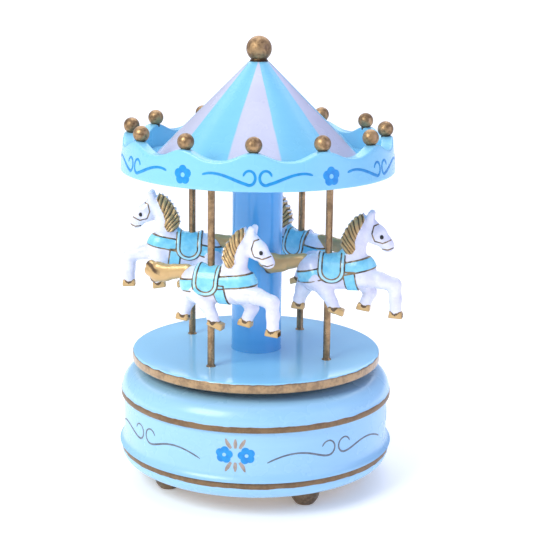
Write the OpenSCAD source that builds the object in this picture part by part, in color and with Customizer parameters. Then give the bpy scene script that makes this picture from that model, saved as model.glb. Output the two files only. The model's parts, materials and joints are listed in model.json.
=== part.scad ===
// Carousel music box: a turning carousel of four horses over a drum with an 18-note movement.
// Millimetres, +Z up. The origin is on the carousel's axis, on the surface that the feet stand on.
// The front of the object looks along -Y.

/* [Base] */
// Radius of the drum at its two bronze bands
band_r = 55.1; // [54.6:0.1:55.4]
// Height of the drum's underside above the surface it stands on
foot_h = 8.2; // [7.8:0.1:8.6]
// Height of the drum's flat top
drum_top = 46.4; // [46:0.1:46.6]
// Radius of the drum's wall between the bands
wall_r = 53.8; // [53.2:0.1:54.2]
// Radius of the hollow in the drum
hollow_r = 45.8; // [45.6:0.1:46.2]

/* [Carousel] */
// Radius of the turntable
table_r = 50.4; // [49.6:0.1:51]
// Height of the turntable's underside
table_z = 49.3; // [49.2:0.1:49.6]
// Thickness of the turntable
table_t = 4.1; // [3.8:0.1:4.4]
// Radius of the column
column_r = 10.1; // [9.5:0.1:10.8]
// Radius of the ring on which the four poles stand
pole_ring_r = 32.8; // [32:0.1:33.4]
// Diameter of a pole
pole_d = 2.8; // [2.4:0.1:3]

/* [Canopy] */
// Height of the skirt's lower edge
skirt_z = 127.1; // [126.5:0.1:127.5]
// Radius of the skirt at its lower edge
skirt_r = 54.5; // [54:0.1:55]
// Height of the scallops' peaks
peak_z = 141.1; // [140.8:0.1:141.4]
// Depth of the scallops
scallop_depth = 3.4; // [3:0.1:5]
// Height of the cone's top
cone_top_z = 169.6; // [168:0.1:170]
// Radius of the bronze beads
bead_r = 3.15; // [2.8:0.01:3.2]
// Radius of the bronze ball on top
finial_r = 5.04; // [4.7:0.01:5.2]

/* [Movement] */
// Crown teeth on the spring barrel
crown_teeth = 36; // [36]
// Teeth on the cylinder's drive pinion
pinion_teeth = 14; // [14]
// Teeth on the cylinder's great wheel
great_teeth = 26; // [26]
// Teeth on the governor's pinion
gov_teeth = 10; // [10]
// Teeth on the governor's worm wheel
worm_teeth = 20; // [20]
// Notes on the comb
notes = 18; // [12:1:18]

/* [Hidden] */

// Colours
sky = [0.62, 0.85, 0.99];
white = [0.96, 0.95, 0.98];
bronze = [0.62, 0.47, 0.32];
brass = [0.80, 0.65, 0.35];
steel = [0.72, 0.73, 0.75];
zinc = [0.60, 0.61, 0.63];
nylon = [0.90, 0.89, 0.84];
wood = [0.80, 0.66, 0.48];

// Fits: a glued or pressed joint, and a bearing
glue_gap = 0.02;
bearing_gap = 0.05;
eps = 0.01;

// Base
plate_t = 3.2;
plate_r = hollow_r - 0.3;
plate_top = foot_h + plate_t;
ceiling_z = 41.5;
lower_curve_r = 5.1;
lower_band = [13.3, 15.4];
upper_band = [35.4, 37.7];
shoulder_flat_r = 46.6;
boss_ring_r = 41.5;
boss_r = 5;
boss_top = 22;
boss_angles = [50, 140, 230, 320];
foot_ring_r = 40;
foot_angles = [-60, 30, 120, 210];
foot_r = 6.1;
foot_sole_r = 4;
screw_r = 1.2;
screw_head_r = 2.5;
screw_head_t = 1.3;

// Carousel
shaft_r = 2;
bush_r = 4;
bush_flange_r = 6;
bush_flange_t = 0.6;
table_top = table_z + table_t;
shaft_top = 62;
plate_z = 129;
canopy_plate_t = 3;
canopy_plate_top = plate_z + canopy_plate_t;
pole_r = pole_d / 2;
pole_foot_z = table_z + 0.9;
column_screw_ring = 8;

// Canopy
skirt_in_r = 48.6;
skirt_top_r = 53.2;
scallops = 12;
first_bead_angle = -91.6;
bead_ring_r = 50.2;
bead_z = 143.7;
bead_foot_r = 1.8;
bead_peg_r = 0.8;
peak_flat = 6;
cone_tip_r = 3.9;
cone_wall = 3.6;
finial_z = cone_top_z + 4.9;
finial_neck_r = 3.5;
peg_r = 1;

// Poles and horses: [pole's angle about Z, horse's heading, height of its saddle, its pitch]
front_left = [-122, -20.5, 93.9, 0];
front_right = [-31, -12.5, 97.3, 2];
back_right = [55.8, 147, 96.6, 0];
back_left = [145.8, 177.8, 97.2, 0.8];

// Movement
bed_t = 2.5;
bed_top = plate_top + bed_t;
bed_x = [-15, 40.5];
bed_y = [-20, 26];
bed_corner_r = 44.5;
bed_screw_places = [[-9, 17], [-9, -17], [38, 8]];
barrel_r = 13.4;
barrel_in_r = 12.2;
barrel_z = bed_top + 0.5;
barrel_top = 21;
barrel_roof_t = 1.1;
arbor_post_r = 4;
arbor_post_top = barrel_top - barrel_roof_t - 0.4;
crown_pitch_z = 21.65;
crown_tip_z = 22.1;
crown_in_r = 10;
tooth_pitch = 2;
pinion_pitch_r = pinion_teeth * tooth_pitch / (2 * PI);
cyl_z = crown_pitch_z + pinion_pitch_r;
cyl_r = 6.5;
cyl_x = [15.8, 30.4];
pin_r = 0.25;
pin_out = 0.6;
pins_per_note = 4;
cyl_arbor_r = 1;
cyl_arbor_x = [10.4, 37.4];
pinion_x = [10.8, 12.4];
great_x = [32.2, 33.8];
fine_module = 0.5;
great_pitch_r = great_teeth * fine_module / 2;
gov_pitch_r = gov_teeth * fine_module / 2;
gov_y = -(great_pitch_r + gov_pitch_r + 0.1);
gov_arbor_r = 0.8;
gov_arbor_x = [30.6, 39];
gov_pinion_x = [32.1, 33.9];
worm_wheel_x = [35, 36.6];
worm_wheel_pitch_r = worm_teeth * fine_module / 2;
worm_lead = PI * fine_module;
worm_pitch_r = 2;
worm_r = 2.45;
worm_core_r = 1.35;
worm_turns = 4.5;
worm_x = (worm_wheel_x[0] + worm_wheel_x[1]) / 2;
worm_y = gov_y - worm_wheel_pitch_r - worm_pitch_r - 0.05;
worm_shaft_r = 0.7;
fan_r = 4.8;
fan_z = [cyl_z + 6, cyl_z + 10];
gov_arm_z = [cyl_z + 10.8, cyl_z + 12.2];
gov_foot_t = 1.5;
gov_foot_top = bed_top + gov_foot_t;
gov_screw_places = [[28.6, -10.6], [31.4, -18.2]];
comb_x = [15, 31.2];
comb_y = [16.8, 24.5];
comb_t = 0.8;
comb_tip_y = cyl_r + pin_out + 0.25;
comb_screw_xs = [17.6, 23.1, 28.6];
comb_screw_y = 20.8;

// A point on a ring about Z, as [x, y]
function on_ring(r, a) = [r * cos(a), r * sin(a)];

// Points along an arc, from angle a0 to a1
function arc(cx, cy, r, a0, a1, n) =
  [for (i = [0 : n]) let (a = a0 + (a1 - a0) * i / n) [cx + r * cos(a), cy + r * sin(a)]];

// A toothed outline: straight-flanked teeth of half-widths half_root and half_tip degrees
function gear_points(n, root_r, tip_r, half_root, half_tip, phase) =
  [for (i = [0 : n - 1], p = [[-half_root, root_r], [-half_tip, tip_r], [half_tip, tip_r],
    [half_root, root_r]]) on_ring(p[1], phase + i * 360 / n + p[0])];

// Turns a shape that was drawn flat so that its axis lies along +X, starting at x
module along_x(x, y, z) {
  translate([x, y, z]) rotate([90, 0, 90]) children();
}

// A spur gear of the fine module with its axis along +X
module fine_gear(n, xs, y, z, bore, phase) {
  pitch_r = n * fine_module / 2;
  pitch_deg = 360 / n;
  along_x(xs[0], y, z) difference() {
    linear_extrude(height = xs[1] - xs[0])
      polygon(gear_points(n, pitch_r - 0.6, pitch_r + 0.4, pitch_deg * 0.25, pitch_deg * 0.11, phase));
    translate([0, 0, -1]) cylinder(r = bore, h = xs[1] - xs[0] + 2, $fn = 32);
  }
}

// A screw standing on its head: head downwards from z, shank up to z_top
module screw_up(z, z_top, r, head_r, head_t) {
  cylinder_between(z, z + head_t, head_r);
  cylinder_between(z + head_t - eps, z_top, r);
}

// A screw driven down from above: shank from z_low to z, head above
module screw_down(z_low, z, r, head_r, head_t) {
  cylinder_between(z_low, z + eps, r);
  difference() {
    cylinder_between(z, z + head_t, head_r);
    translate([-head_r, -0.3, z + head_t * 0.6]) cube([2 * head_r, 0.6, head_t]);
  }
}

// A round bar or hole about Z between two heights
module cylinder_between(z0, z1, r) {
  translate([0, 0, z0]) cylinder(r = r, h = z1 - z0, $fn = 48);
}

// ---- base ----

function drum_outline() = concat(
  [[hollow_r, foot_h]],
  arc(50, foot_h + lower_curve_r, lower_curve_r, -90, -4, 8),
  [[band_r, lower_band[0]], [band_r, lower_band[1]]],
  arc(band_r + 2.2, 18.9, 3.5, 245, 180, 6),
  [[wall_r, upper_band[0]], [band_r, upper_band[0]], [band_r, upper_band[1]]],
  arc(shoulder_flat_r, upper_band[1], 8.1, 4, 84, 10),
  [[shoulder_flat_r, drum_top], [bush_r, drum_top], [bush_r, ceiling_z], [hollow_r, ceiling_z]]
);

module base_drum() {
  color(sky) difference() {
    union() {
      rotate_extrude($fn = 128) polygon(drum_outline());
      intersection() {
        cylinder_between(plate_top, boss_top, hollow_r + 1);
        for (a = boss_angles) translate(on_ring(boss_ring_r, a)) cylinder_between(plate_top, boss_top, boss_r);
      }
    }
    for (a = boss_angles)
      translate(on_ring(boss_ring_r, a)) cylinder_between(plate_top - 1, boss_top - 3, screw_r + glue_gap);
  }
}

module bottom_plate() {
  color(wood) difference() {
    cylinder_between(foot_h, plate_top, plate_r);
    for (a = boss_angles) translate(on_ring(boss_ring_r, a)) {
      cylinder_between(foot_h - 1, plate_top + 1, screw_r + 0.2);
      cylinder_between(foot_h - 1, foot_h + screw_head_t + 0.2, screw_head_r + 0.2);
    }
    for (p = bed_screw_places) translate(p) {
      cylinder_between(foot_h - 1, plate_top + 1, screw_r + 0.2);
      cylinder_between(foot_h - 1, foot_h + screw_head_t + 0.2, screw_head_r + 0.2);
    }
    for (a = foot_angles)
      translate(on_ring(foot_ring_r, a)) cylinder_between(foot_h - 1, plate_top - 0.4, screw_r + glue_gap);
  }
}

module plate_screws() {
  color(steel) for (a = boss_angles)
    translate(on_ring(boss_ring_r, a))
      screw_up(foot_h + 0.2, boss_top - 3.5, screw_r, screw_head_r, screw_head_t);
}

// A round foot that narrows to a flat sole, with a screw well from below
module foot(angle) {
  color(bronze) translate(on_ring(foot_ring_r, angle)) difference() {
    rotate_extrude($fn = 64) polygon(concat(
      [[0, 0]], arc(foot_sole_r - 0.6, 0.6, 0.6, -90, -30, 3),
      [[4.5, 1.1], [5.2, 2.2], [5.65, 3.5], [5.95, 5], [foot_r, 6.4], [foot_r, foot_h], [0, foot_h]]));
    cylinder_between(-1, 2.4, screw_head_r - 0.3);
    cylinder_between(1, foot_h + 1, screw_r + 0.1);
  }
}

module foot_front() { foot(foot_angles[0]); }
module foot_right() { foot(foot_angles[1]); }
module foot_back() { foot(foot_angles[2]); }
module foot_left() { foot(foot_angles[3]); }

module foot_screws() {
  color(steel) for (a = foot_angles)
    translate(on_ring(foot_ring_r, a)) screw_up(1.1, plate_top - 0.6, screw_r, screw_head_r - 0.5, screw_head_t);
}

module shaft_bushing() {
  color(brass) difference() {
    union() {
      cylinder_between(ceiling_z, drum_top, bush_r - glue_gap);
      cylinder_between(drum_top, drum_top + bush_flange_t, bush_flange_r);
    }
    cylinder_between(ceiling_z - 1, drum_top + 2, shaft_r + bearing_gap);
  }
}

// ---- movement, fixed parts ----

module bedplate() {
  color(zinc) difference() {
    intersection() {
      translate([bed_x[0], bed_y[0], plate_top]) cube([bed_x[1] - bed_x[0], bed_y[1] - bed_y[0], bed_t]);
      cylinder_between(plate_top - 1, bed_top + 1, bed_corner_r);
    }
    for (p = bed_screw_places) translate(p) cylinder_between(plate_top - 1, bed_top + 1, screw_r + glue_gap);
    for (x = comb_screw_xs) translate([x, 0, 0]) cylinder_between(plate_top + 1, bed_top + 1, 0.6);
  }
}

module bedplate_screws() {
  color(steel) for (p = bed_screw_places)
    translate(p) screw_up(foot_h + 0.2, bed_top - 0.1, screw_r, screw_head_r, screw_head_t);
}

// The fixed post that the mainspring's inner end hooks on; the drive shaft turns inside it
module spring_arbor() {
  color(steel) difference() {
    cylinder_between(bed_top, arbor_post_top, arbor_post_r);
    cylinder_between(bed_top - 1, arbor_post_top + 1, shaft_r + bearing_gap);
  }
}

// An upright plate with a foot, bored for the cylinder's arbor
module bracket(x0, x1, y0, y1, foot_x0, foot_x1, screw_at) {
  color(zinc) difference() {
    union() {
      translate([x0, y0, bed_top]) cube([x1 - x0, y1 - y0, cyl_z + 2.6 - bed_top]);
      translate([foot_x0, y0, bed_top]) cube([foot_x1 - foot_x0, y1 - y0, gov_foot_t]);
    }
    along_x(x0 - 1, 0, cyl_z) cylinder(r = cyl_arbor_r + bearing_gap, h = x1 - x0 + 2, $fn = 48);
    translate(screw_at) cylinder_between(bed_top - 1, bed_top + gov_foot_t + 1, 0.82);
  }
}

bracket_inner_screw = [18.2, 0];
bracket_outer_screw = [38.4, 3.2];

module bracket_inner() { bracket(13.9, 15.2, -4, 4, 13.9, 20.4, bracket_inner_screw); }
module bracket_outer() { bracket(35.8, 37.1, -2.3, 5, 35.8, 39.6, bracket_outer_screw); }

module bracket_screws() {
  color(steel) for (p = [bracket_inner_screw, bracket_outer_screw])
    translate(p) screw_down(bed_top + 0.1, gov_foot_top, 0.8, 1.2, 0.9);
}

module comb_block() {
  color(zinc) difference() {
    translate([comb_x[0], comb_y[0] + 0.4, bed_top])
      cube([comb_x[1] - comb_x[0], comb_y[1] - comb_y[0] - 0.4, cyl_z - comb_t / 2 - bed_top]);
    for (x = comb_screw_xs)
      translate([x, comb_screw_y, 0]) cylinder_between(cyl_z - 6, cyl_z + 1, 1 + glue_gap);
  }
}

// The tuned steel comb: its teeth reach almost to the cylinder's pins
module comb() {
  tooth_step = (comb_x[1] - comb_x[0] - 0.6) / notes;
  color(steel) difference() {
    union() {
      translate([comb_x[0], comb_y[0], cyl_z - comb_t / 2])
        cube([comb_x[1] - comb_x[0], comb_y[1] - comb_y[0], comb_t]);
      for (i = [0 : notes - 1])
        translate([comb_x[0] + 0.3 + tooth_step * (i + 0.12), comb_tip_y, cyl_z - comb_t / 4])
          cube([tooth_step * 0.76, comb_y[0] - comb_tip_y + 0.2, comb_t / 2]);
    }
    for (x = comb_screw_xs)
      translate([x, comb_screw_y, 0]) cylinder_between(cyl_z - 2, cyl_z + 2, 1.1);
  }
}

module comb_screws() {
  color(brass) for (x = comb_screw_xs)
    translate([x, comb_screw_y, 0]) screw_down(cyl_z - 5.6, cyl_z + comb_t / 2, 1, 1.9, 1.1);
}

// The governor's frame: two ears for its arbor, and a post and an arm over the worm shaft
module governor_frame() {
  color(zinc) difference() {
    union() {
      translate([27, -19.4, bed_top]) cube([13, 12.4, gov_foot_t]);
      for (x = [30.8, 37.6])
        translate([x, gov_y - 2.2, bed_top]) cube([1, 4.2, cyl_z + 2.2 - bed_top]);
      translate([27, -19.4, bed_top]) cube([2.3, 5.2, gov_arm_z[1] - bed_top]);
      translate([27, worm_y - 1.8, gov_arm_z[0]]) cube([worm_x - 25, 3.6, gov_arm_z[1] - gov_arm_z[0]]);
    }
    along_x(30, gov_y, cyl_z) cylinder(r = gov_arbor_r + bearing_gap, h = 10, $fn = 48);
    translate([worm_x, worm_y, 0]) cylinder_between(bed_top - 1, gov_arm_z[1] + 1, worm_shaft_r + bearing_gap);
    for (p = gov_screw_places) translate(p) cylinder_between(bed_top - 1, gov_foot_top + 1, 0.82);
  }
}

module governor_screws() {
  color(steel) for (p = gov_screw_places)
    translate(p) screw_down(bed_top + 0.1, gov_foot_top, 0.8, 1.2, 0.9);
}

// ---- movement, turning parts ----

module cylinder_sleeve() {
  color(brass) along_x(cyl_x[0], 0, cyl_z) difference() {
    cylinder(r = cyl_r, h = cyl_x[1] - cyl_x[0], $fn = 64);
    translate([0, 0, 1.2]) difference() {
      cylinder(r = cyl_r - 0.7, h = cyl_x[1] - cyl_x[0] - 2.4, $fn = 64);
      translate([0, 0, -1]) cylinder(r = cyl_arbor_r + 1, h = cyl_x[1] - cyl_x[0], $fn = 48);
    }
    translate([0, 0, -1]) cylinder(r = cyl_arbor_r + glue_gap, h = cyl_x[1] - cyl_x[0] + 2, $fn = 48);
  }
}

// The tune: a few pins for each note, spread round the cylinder by a rule
module cylinder_pins() {
  tooth_step = (comb_x[1] - comb_x[0] - 0.6) / notes;
  color(steel) for (i = [0 : notes - 1], k = [0 : pins_per_note - 1]) {
    x = comb_x[0] + 0.3 + tooth_step * (i + 0.5);
    turn = 360 * k / pins_per_note + i * 47 + k * k * 13;
    if (x > cyl_x[0] + 0.4 && x < cyl_x[1] - 0.4)
      translate([x, 0, cyl_z]) rotate([turn, 0, 0])
        translate([0, 0, cyl_r]) cylinder(r = pin_r, h = pin_out, $fn = 6);
  }
}

module cylinder_arbor() {
  color(steel) along_x(cyl_arbor_x[0], 0, cyl_z)
    cylinder(r = cyl_arbor_r, h = cyl_arbor_x[1] - cyl_arbor_x[0], $fn = 48);
}

module drive_pinion() {
  pitch_deg = 360 / pinion_teeth;
  color(brass) along_x(pinion_x[0], 0, cyl_z) difference() {
    linear_extrude(height = pinion_x[1] - pinion_x[0])
      polygon(gear_points(pinion_teeth, pinion_pitch_r - 0.65, pinion_pitch_r + 0.4,
        pitch_deg * 0.23, pitch_deg * 0.1, pitch_deg / 2));
    translate([0, 0, -1]) cylinder(r = cyl_arbor_r + glue_gap, h = 4, $fn = 48);
  }
}

module great_wheel() {
  color(brass) fine_gear(great_teeth, great_x, 0, cyl_z, cyl_arbor_r + glue_gap, 0);
}

module governor_arbor() {
  color(steel) along_x(gov_arbor_x[0], gov_y, cyl_z)
    cylinder(r = gov_arbor_r, h = gov_arbor_x[1] - gov_arbor_x[0], $fn = 48);
}

module governor_pinion() {
  color(brass) fine_gear(gov_teeth, gov_pinion_x, gov_y, cyl_z, gov_arbor_r + glue_gap, 180 / gov_teeth);
}

module worm_wheel() {
  color(nylon) fine_gear(worm_teeth, worm_wheel_x, gov_y, cyl_z, gov_arbor_r + glue_gap, 0);
}

// Cross-section of the worm: its core and, on one side, its thread
function worm_section() = concat(
  arc(0, 0, worm_core_r, 72, 288, 12),
  arc(0, 0, worm_r, -36, 36, 6)
);

module worm_shaft() {
  length = worm_turns * worm_lead;
  start_angle = 270 - 180 * worm_turns;
  color(steel) translate([worm_x, worm_y, 0]) {
    translate([0, 0, cyl_z - length / 2]) rotate([0, 0, start_angle])
      linear_extrude(height = length, twist = -360 * worm_turns, slices = 18 * worm_turns)
        polygon(worm_section());
    cylinder_between(bed_top + 0.2, cyl_z - length / 2 + 0.2, worm_shaft_r);
    cylinder_between(cyl_z + length / 2 - 0.2, gov_arm_z[1] + 0.2, worm_shaft_r);
  }
}

module air_brake() {
  color(nylon) translate([worm_x, worm_y, 0]) difference() {
    union() {
      cylinder_between(fan_z[0], fan_z[1], 1.5);
      for (a = [0, 180]) rotate([0, 0, a]) translate([0, -0.3, fan_z[0]])
        cube([fan_r - 0.1, 0.6, fan_z[1] - fan_z[0]]);
    }
    cylinder_between(fan_z[0] - 1, fan_z[1] + 1, worm_shaft_r + glue_gap);
  }
}

module drive_shaft() {
  color(steel) cylinder_between(bed_top + 0.3, shaft_top, shaft_r);
}

module spring_barrel() {
  color(zinc) {
    difference() {
      cylinder_between(barrel_z, barrel_top, barrel_r);
      cylinder_between(barrel_z - 1, barrel_top - barrel_roof_t, barrel_in_r);
      cylinder_between(barrel_z, barrel_top + 1, shaft_r + glue_gap);
    }
    for (i = [0 : crown_teeth - 1]) rotate([0, 0, (i + 0.5) * 360 / crown_teeth])
      translate([crown_in_r, 0, barrel_top - 0.1]) rotate([90, 0, 90])
        linear_extrude(height = barrel_r - 0.2 - crown_in_r)
          polygon([[-0.42, 0], [0.42, 0], [0.24, crown_tip_z - barrel_top + 0.1],
            [-0.24, crown_tip_z - barrel_top + 0.1]]);
  }
}

module barrel_cover() {
  color(zinc) difference() {
    cylinder_between(barrel_z, barrel_z + 0.8, barrel_in_r - glue_gap);
    cylinder_between(barrel_z - 1, barrel_z + 2, arbor_post_r + 0.4);
  }
}

// A flat spiral from the post out to the barrel's wall
module mainspring() {
  turns = 6;
  r0 = arbor_post_r + 0.6;
  r1 = barrel_in_r - 0.4;
  half_t = 0.15;
  steps = turns * 18;
  inner = [for (i = [0 : steps]) on_ring(r0 - half_t + (r1 - r0) * i / steps, 360 * turns * i / steps)];
  outer = [for (i = [steps : -1 : 0]) on_ring(r0 + half_t + (r1 - r0) * i / steps, 360 * turns * i / steps)];
  color(steel) translate([0, 0, barrel_z + 1.1])
    linear_extrude(height = barrel_top - barrel_roof_t - barrel_z - 1.5) polygon(concat(inner, outer));
}

// ---- carousel ----

module hub_collar() {
  color(brass) difference() {
    cylinder_between(drum_top + bush_flange_t + 0.3, table_z, 5.5);
    cylinder_between(drum_top, table_z + 1, shaft_r + glue_gap);
  }
}

module turntable() {
  edge = 0.9;
  color(sky) difference() {
    rotate_extrude($fn = 128) polygon(concat(
      [[0, table_z]], arc(table_r - edge, table_z + edge, edge, -90, 0, 4),
      arc(table_r - edge, table_top - edge, edge, 0, 90, 4), [[0, table_top]]));
    cylinder_between(table_z - 1, table_top + 1, shaft_r + glue_gap);
    for (h = [front_left, front_right, back_right, back_left])
      translate(on_ring(pole_ring_r, h[0])) cylinder_between(pole_foot_z, table_top + 1, pole_r + glue_gap);
    for (a = [0, 180]) translate(on_ring(column_screw_ring, a)) {
      cylinder_between(table_z - 1, table_top + 1, 1.1);
      cylinder_between(table_z - 1, table_z + 1.4, 1.9);
    }
  }
}

module column() {
  color([0.25, 0.55, 0.86]) difference() {
    cylinder_between(table_top, plate_z, column_r);
    cylinder_between(table_top - 1, shaft_top + 0.5, shaft_r + glue_gap);
    cylinder_between(plate_z - 12, plate_z + 1, 1.5 + glue_gap);
    for (a = [0, 180])
      translate(on_ring(column_screw_ring, a)) cylinder_between(table_top - 1, table_top + 8, 0.9 + glue_gap);
  }
}

module column_screws() {
  color(steel) for (a = [0, 180])
    translate(on_ring(column_screw_ring, a)) screw_up(table_z + 0.2, table_top + 7.5, 0.9, 1.7, 1.1);
}

module pole(place) {
  color(bronze) translate(on_ring(pole_ring_r, place[0]))
    cylinder_between(pole_foot_z + glue_gap, canopy_plate_top - 0.4, pole_r);
}

module pole_front_left() { pole(front_left); }
module pole_front_right() { pole(front_right); }
module pole_back_right() { pole(back_right); }
module pole_back_left() { pole(back_left); }

// A rounded bar between two balls: each is [x, y, z, radius]
module limb(a, b) {
  hull() {
    translate([a[0], a[1], a[2]]) sphere(r = a[3], $fn = 12);
    translate([b[0], b[1], b[2]]) sphere(r = b[3], $fn = 12);
  }
}

// A galloping horse that faces +X, its nose pitched up, with the pole's hole through its saddle
module horse(pitch) {
  difference() {
    rotate([0, -pitch, 0]) {
      // trunk, neck and head
      limb([-5.4, 0, -7.2, 6.5], [12.4, 0, -7, 6.1]);
      limb([9.8, 0, -2.4, 5], [13.4, 0, 10, 3.8]);
      limb([16.6, 0, 9.8, 3.6], [22.9, 0, 3.2, 2.3]);
      limb([16, 1.6, 12.4, 1.3], [16.5, 2, 16.4, 0.7]);
      limb([16, -1.6, 12.4, 1.3], [16.5, -2, 16.4, 0.7]);
      // mane and tail
      limb([13.2, 0, 13.2, 1.9], [7.6, 0, 6.8, 2]);
      limb([7.6, 0, 6.8, 2], [8.8, 0, 0.6, 2]);
      limb([-10, 0, -3, 2.3], [-17, 0, -4, 2.7]);
      limb([-17, 0, -4, 2.7], [-23.6, 0, -4.4, 3.7]);
      // forelegs: one raised and bent, one folded back
      limb([14, -3, -9.2, 3.3], [26.6, -3, -11.4, 2.4]);
      limb([26.6, -3, -11.4, 2.4], [26.8, -3, -22.2, 2.3]);
      limb([13.4, 3, -11, 3.2], [15.7, 3, -15.6, 2.3]);
      limb([15.7, 3, -15.6, 2.3], [13, 3, -20, 2.3]);
      // hind legs
      limb([-4, -3, -9.8, 4], [0.2, -3, -15.4, 2.7]);
      limb([0.2, -3, -15.4, 2.7], [3, -3, -21.4, 2.4]);
      limb([-7.8, 3, -9, 4.4], [-11.2, 3, -14, 3]);
      limb([-11.2, 3, -14, 3], [-12.7, 3, -19.4, 2.3]);
    }
    cylinder_between(-27, 6, pole_r + glue_gap);
  }
}

module horse_on(place) {
  p = on_ring(pole_ring_r, place[0]);
  color(white) translate([p[0], p[1], place[2]]) rotate([0, 0, place[1]]) horse(place[3]);
}

module horse_front_left() { horse_on(front_left); }
module horse_front_right() { horse_on(front_right); }
module horse_back_right() { horse_on(back_right); }
module horse_back_left() { horse_on(back_left); }

// ---- canopy ----

module canopy_plate() {
  color(sky) difference() {
    cylinder_between(plate_z, canopy_plate_top, skirt_in_r - glue_gap);
    cylinder_between(plate_z - 1, canopy_plate_top + 1, 1.7);
    for (h = [front_left, front_right, back_right, back_left])
      translate(on_ring(pole_ring_r, h[0])) cylinder_between(plate_z - 1, canopy_plate_top + 1, pole_r + glue_gap);
  }
}

module canopy_screw() {
  color(steel) screw_down(plate_z - 10, canopy_plate_top, 1.5, 3.2, 1.8);
}

// The skirt's top edge is cut by one round scallop between each pair of beads
module canopy_skirt() {
  half_gap = PI * skirt_top_r / scallops - peak_flat / 2;
  scallop_r = (half_gap * half_gap + scallop_depth * scallop_depth) / (2 * scallop_depth);
  color(sky) difference() {
    rotate_extrude($fn = 128) polygon([[skirt_in_r, skirt_z + 0.5], [skirt_in_r + 0.5, skirt_z],
      [skirt_r - 0.6, skirt_z], [skirt_r, skirt_z + 0.6], [skirt_top_r + 0.1, peak_z - 0.6],
      [skirt_top_r - 0.5, peak_z], [skirt_in_r, peak_z]]);
    for (i = [0 : scallops - 1]) {
      rotate([0, 0, first_bead_angle + (i + 0.5) * 360 / scallops])
        translate([skirt_in_r - 3, 0, peak_z - scallop_depth + scallop_r])
          rotate([0, 90, 0]) cylinder(r = scallop_r, h = 12, $fn = 96);
      rotate([0, 0, first_bead_angle + i * 360 / scallops])
        translate([bead_ring_r, 0, 0]) cylinder_between(peak_z - 4, peak_z + 1, bead_peg_r + glue_gap);
    }
  }
}

// A hollow cone that stands on the canopy's plate
module canopy_cone() {
  foot_r_out = cone_tip_r + cone_top_z - canopy_plate_top;
  inner_top = cone_top_z - cone_wall - 6;
  inner_foot = foot_r_out - cone_wall;
  color(sky) difference() {
    rotate_extrude($fn = 128) polygon([[inner_foot, canopy_plate_top], [foot_r_out, canopy_plate_top],
      [cone_tip_r, cone_top_z], [0, cone_top_z], [0, inner_top],
      [inner_foot - (inner_top - canopy_plate_top), inner_top]]);
    cylinder_between(cone_top_z - 5, cone_top_z + 1, peg_r + glue_gap);
  }
}

// Twelve beads on pegs, one on each peak of the skirt
module canopy_beads() {
  color(bronze) for (i = [0 : scallops - 1])
    rotate([0, 0, first_bead_angle + i * 360 / scallops]) translate([bead_ring_r, 0, 0]) {
      difference() {
        translate([0, 0, bead_z]) sphere(r = bead_r, $fn = 48);
        cylinder_between(peak_z - 2, peak_z, bead_r);
      }
      cylinder_between(peak_z, bead_z - 1, bead_foot_r);
      cylinder_between(peak_z - 3.6, peak_z + 0.5, bead_peg_r);
    }
}

module finial() {
  color(bronze) difference() {
    union() {
      translate([0, 0, finial_z]) sphere(r = finial_r, $fn = 64);
      cylinder_between(cone_top_z, finial_z - 2, finial_neck_r);
    }
    cylinder_between(cone_top_z - 2, cone_top_z, finial_r);
    cylinder_between(cone_top_z - 1, finial_z - 1, peg_r + glue_gap);
  }
}

module finial_peg() {
  color(steel) cylinder_between(cone_top_z - 4.6, finial_z - 1.4, peg_r);
}

base_drum();
bottom_plate();
plate_screws();
foot_front();
foot_right();
foot_back();
foot_left();
foot_screws();
shaft_bushing();
bedplate();
bedplate_screws();
spring_arbor();
bracket_inner();
bracket_outer();
bracket_screws();
comb_block();
comb();
comb_screws();
governor_frame();
governor_screws();
cylinder_sleeve();
cylinder_pins();
cylinder_arbor();
drive_pinion();
great_wheel();
governor_arbor();
governor_pinion();
worm_wheel();
worm_shaft();
air_brake();
drive_shaft();
spring_barrel();
barrel_cover();
mainspring();
hub_collar();
turntable();
column();
column_screws();
pole_front_left();
pole_front_right();
pole_back_right();
pole_back_left();
horse_front_left();
horse_front_right();
horse_back_right();
horse_back_left();
canopy_plate();
canopy_screw();
canopy_skirt();
canopy_cone();
canopy_beads();
finial();
finial_peg();
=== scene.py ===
"""Looks of a painted wooden carousel music box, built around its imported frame."""
import json
import logging
import math
from dataclasses import dataclass
from enum import Enum
from functools import reduce
from typing import Callable, Sequence

import bmesh
import bpy
import numpy as np
from mathutils import Matrix, Vector


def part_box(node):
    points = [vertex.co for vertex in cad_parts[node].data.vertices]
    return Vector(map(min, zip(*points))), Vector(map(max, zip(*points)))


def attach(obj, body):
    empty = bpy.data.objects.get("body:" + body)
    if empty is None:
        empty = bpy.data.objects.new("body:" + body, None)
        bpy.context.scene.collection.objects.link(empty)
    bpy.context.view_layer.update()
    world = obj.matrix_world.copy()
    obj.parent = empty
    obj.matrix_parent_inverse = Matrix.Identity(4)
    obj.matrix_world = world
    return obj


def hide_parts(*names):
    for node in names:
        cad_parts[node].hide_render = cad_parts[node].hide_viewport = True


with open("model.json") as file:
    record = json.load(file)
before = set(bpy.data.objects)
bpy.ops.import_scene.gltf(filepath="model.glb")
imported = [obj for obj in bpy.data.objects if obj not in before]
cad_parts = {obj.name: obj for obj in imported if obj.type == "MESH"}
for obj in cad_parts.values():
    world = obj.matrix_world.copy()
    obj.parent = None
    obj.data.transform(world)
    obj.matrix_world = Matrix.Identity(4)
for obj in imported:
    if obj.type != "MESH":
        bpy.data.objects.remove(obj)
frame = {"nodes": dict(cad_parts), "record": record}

LOG = logging.getLogger("carousel")
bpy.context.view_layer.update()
MM = 0.001
TINY = 1e-9
MERGE = 1e-7
COAT_ROUGHNESS = 0.12
MIDDLE = (0.00387, 0.0, 0.0871)
CORNERS = ("front_left", "front_right", "back_right", "back_left")
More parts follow.
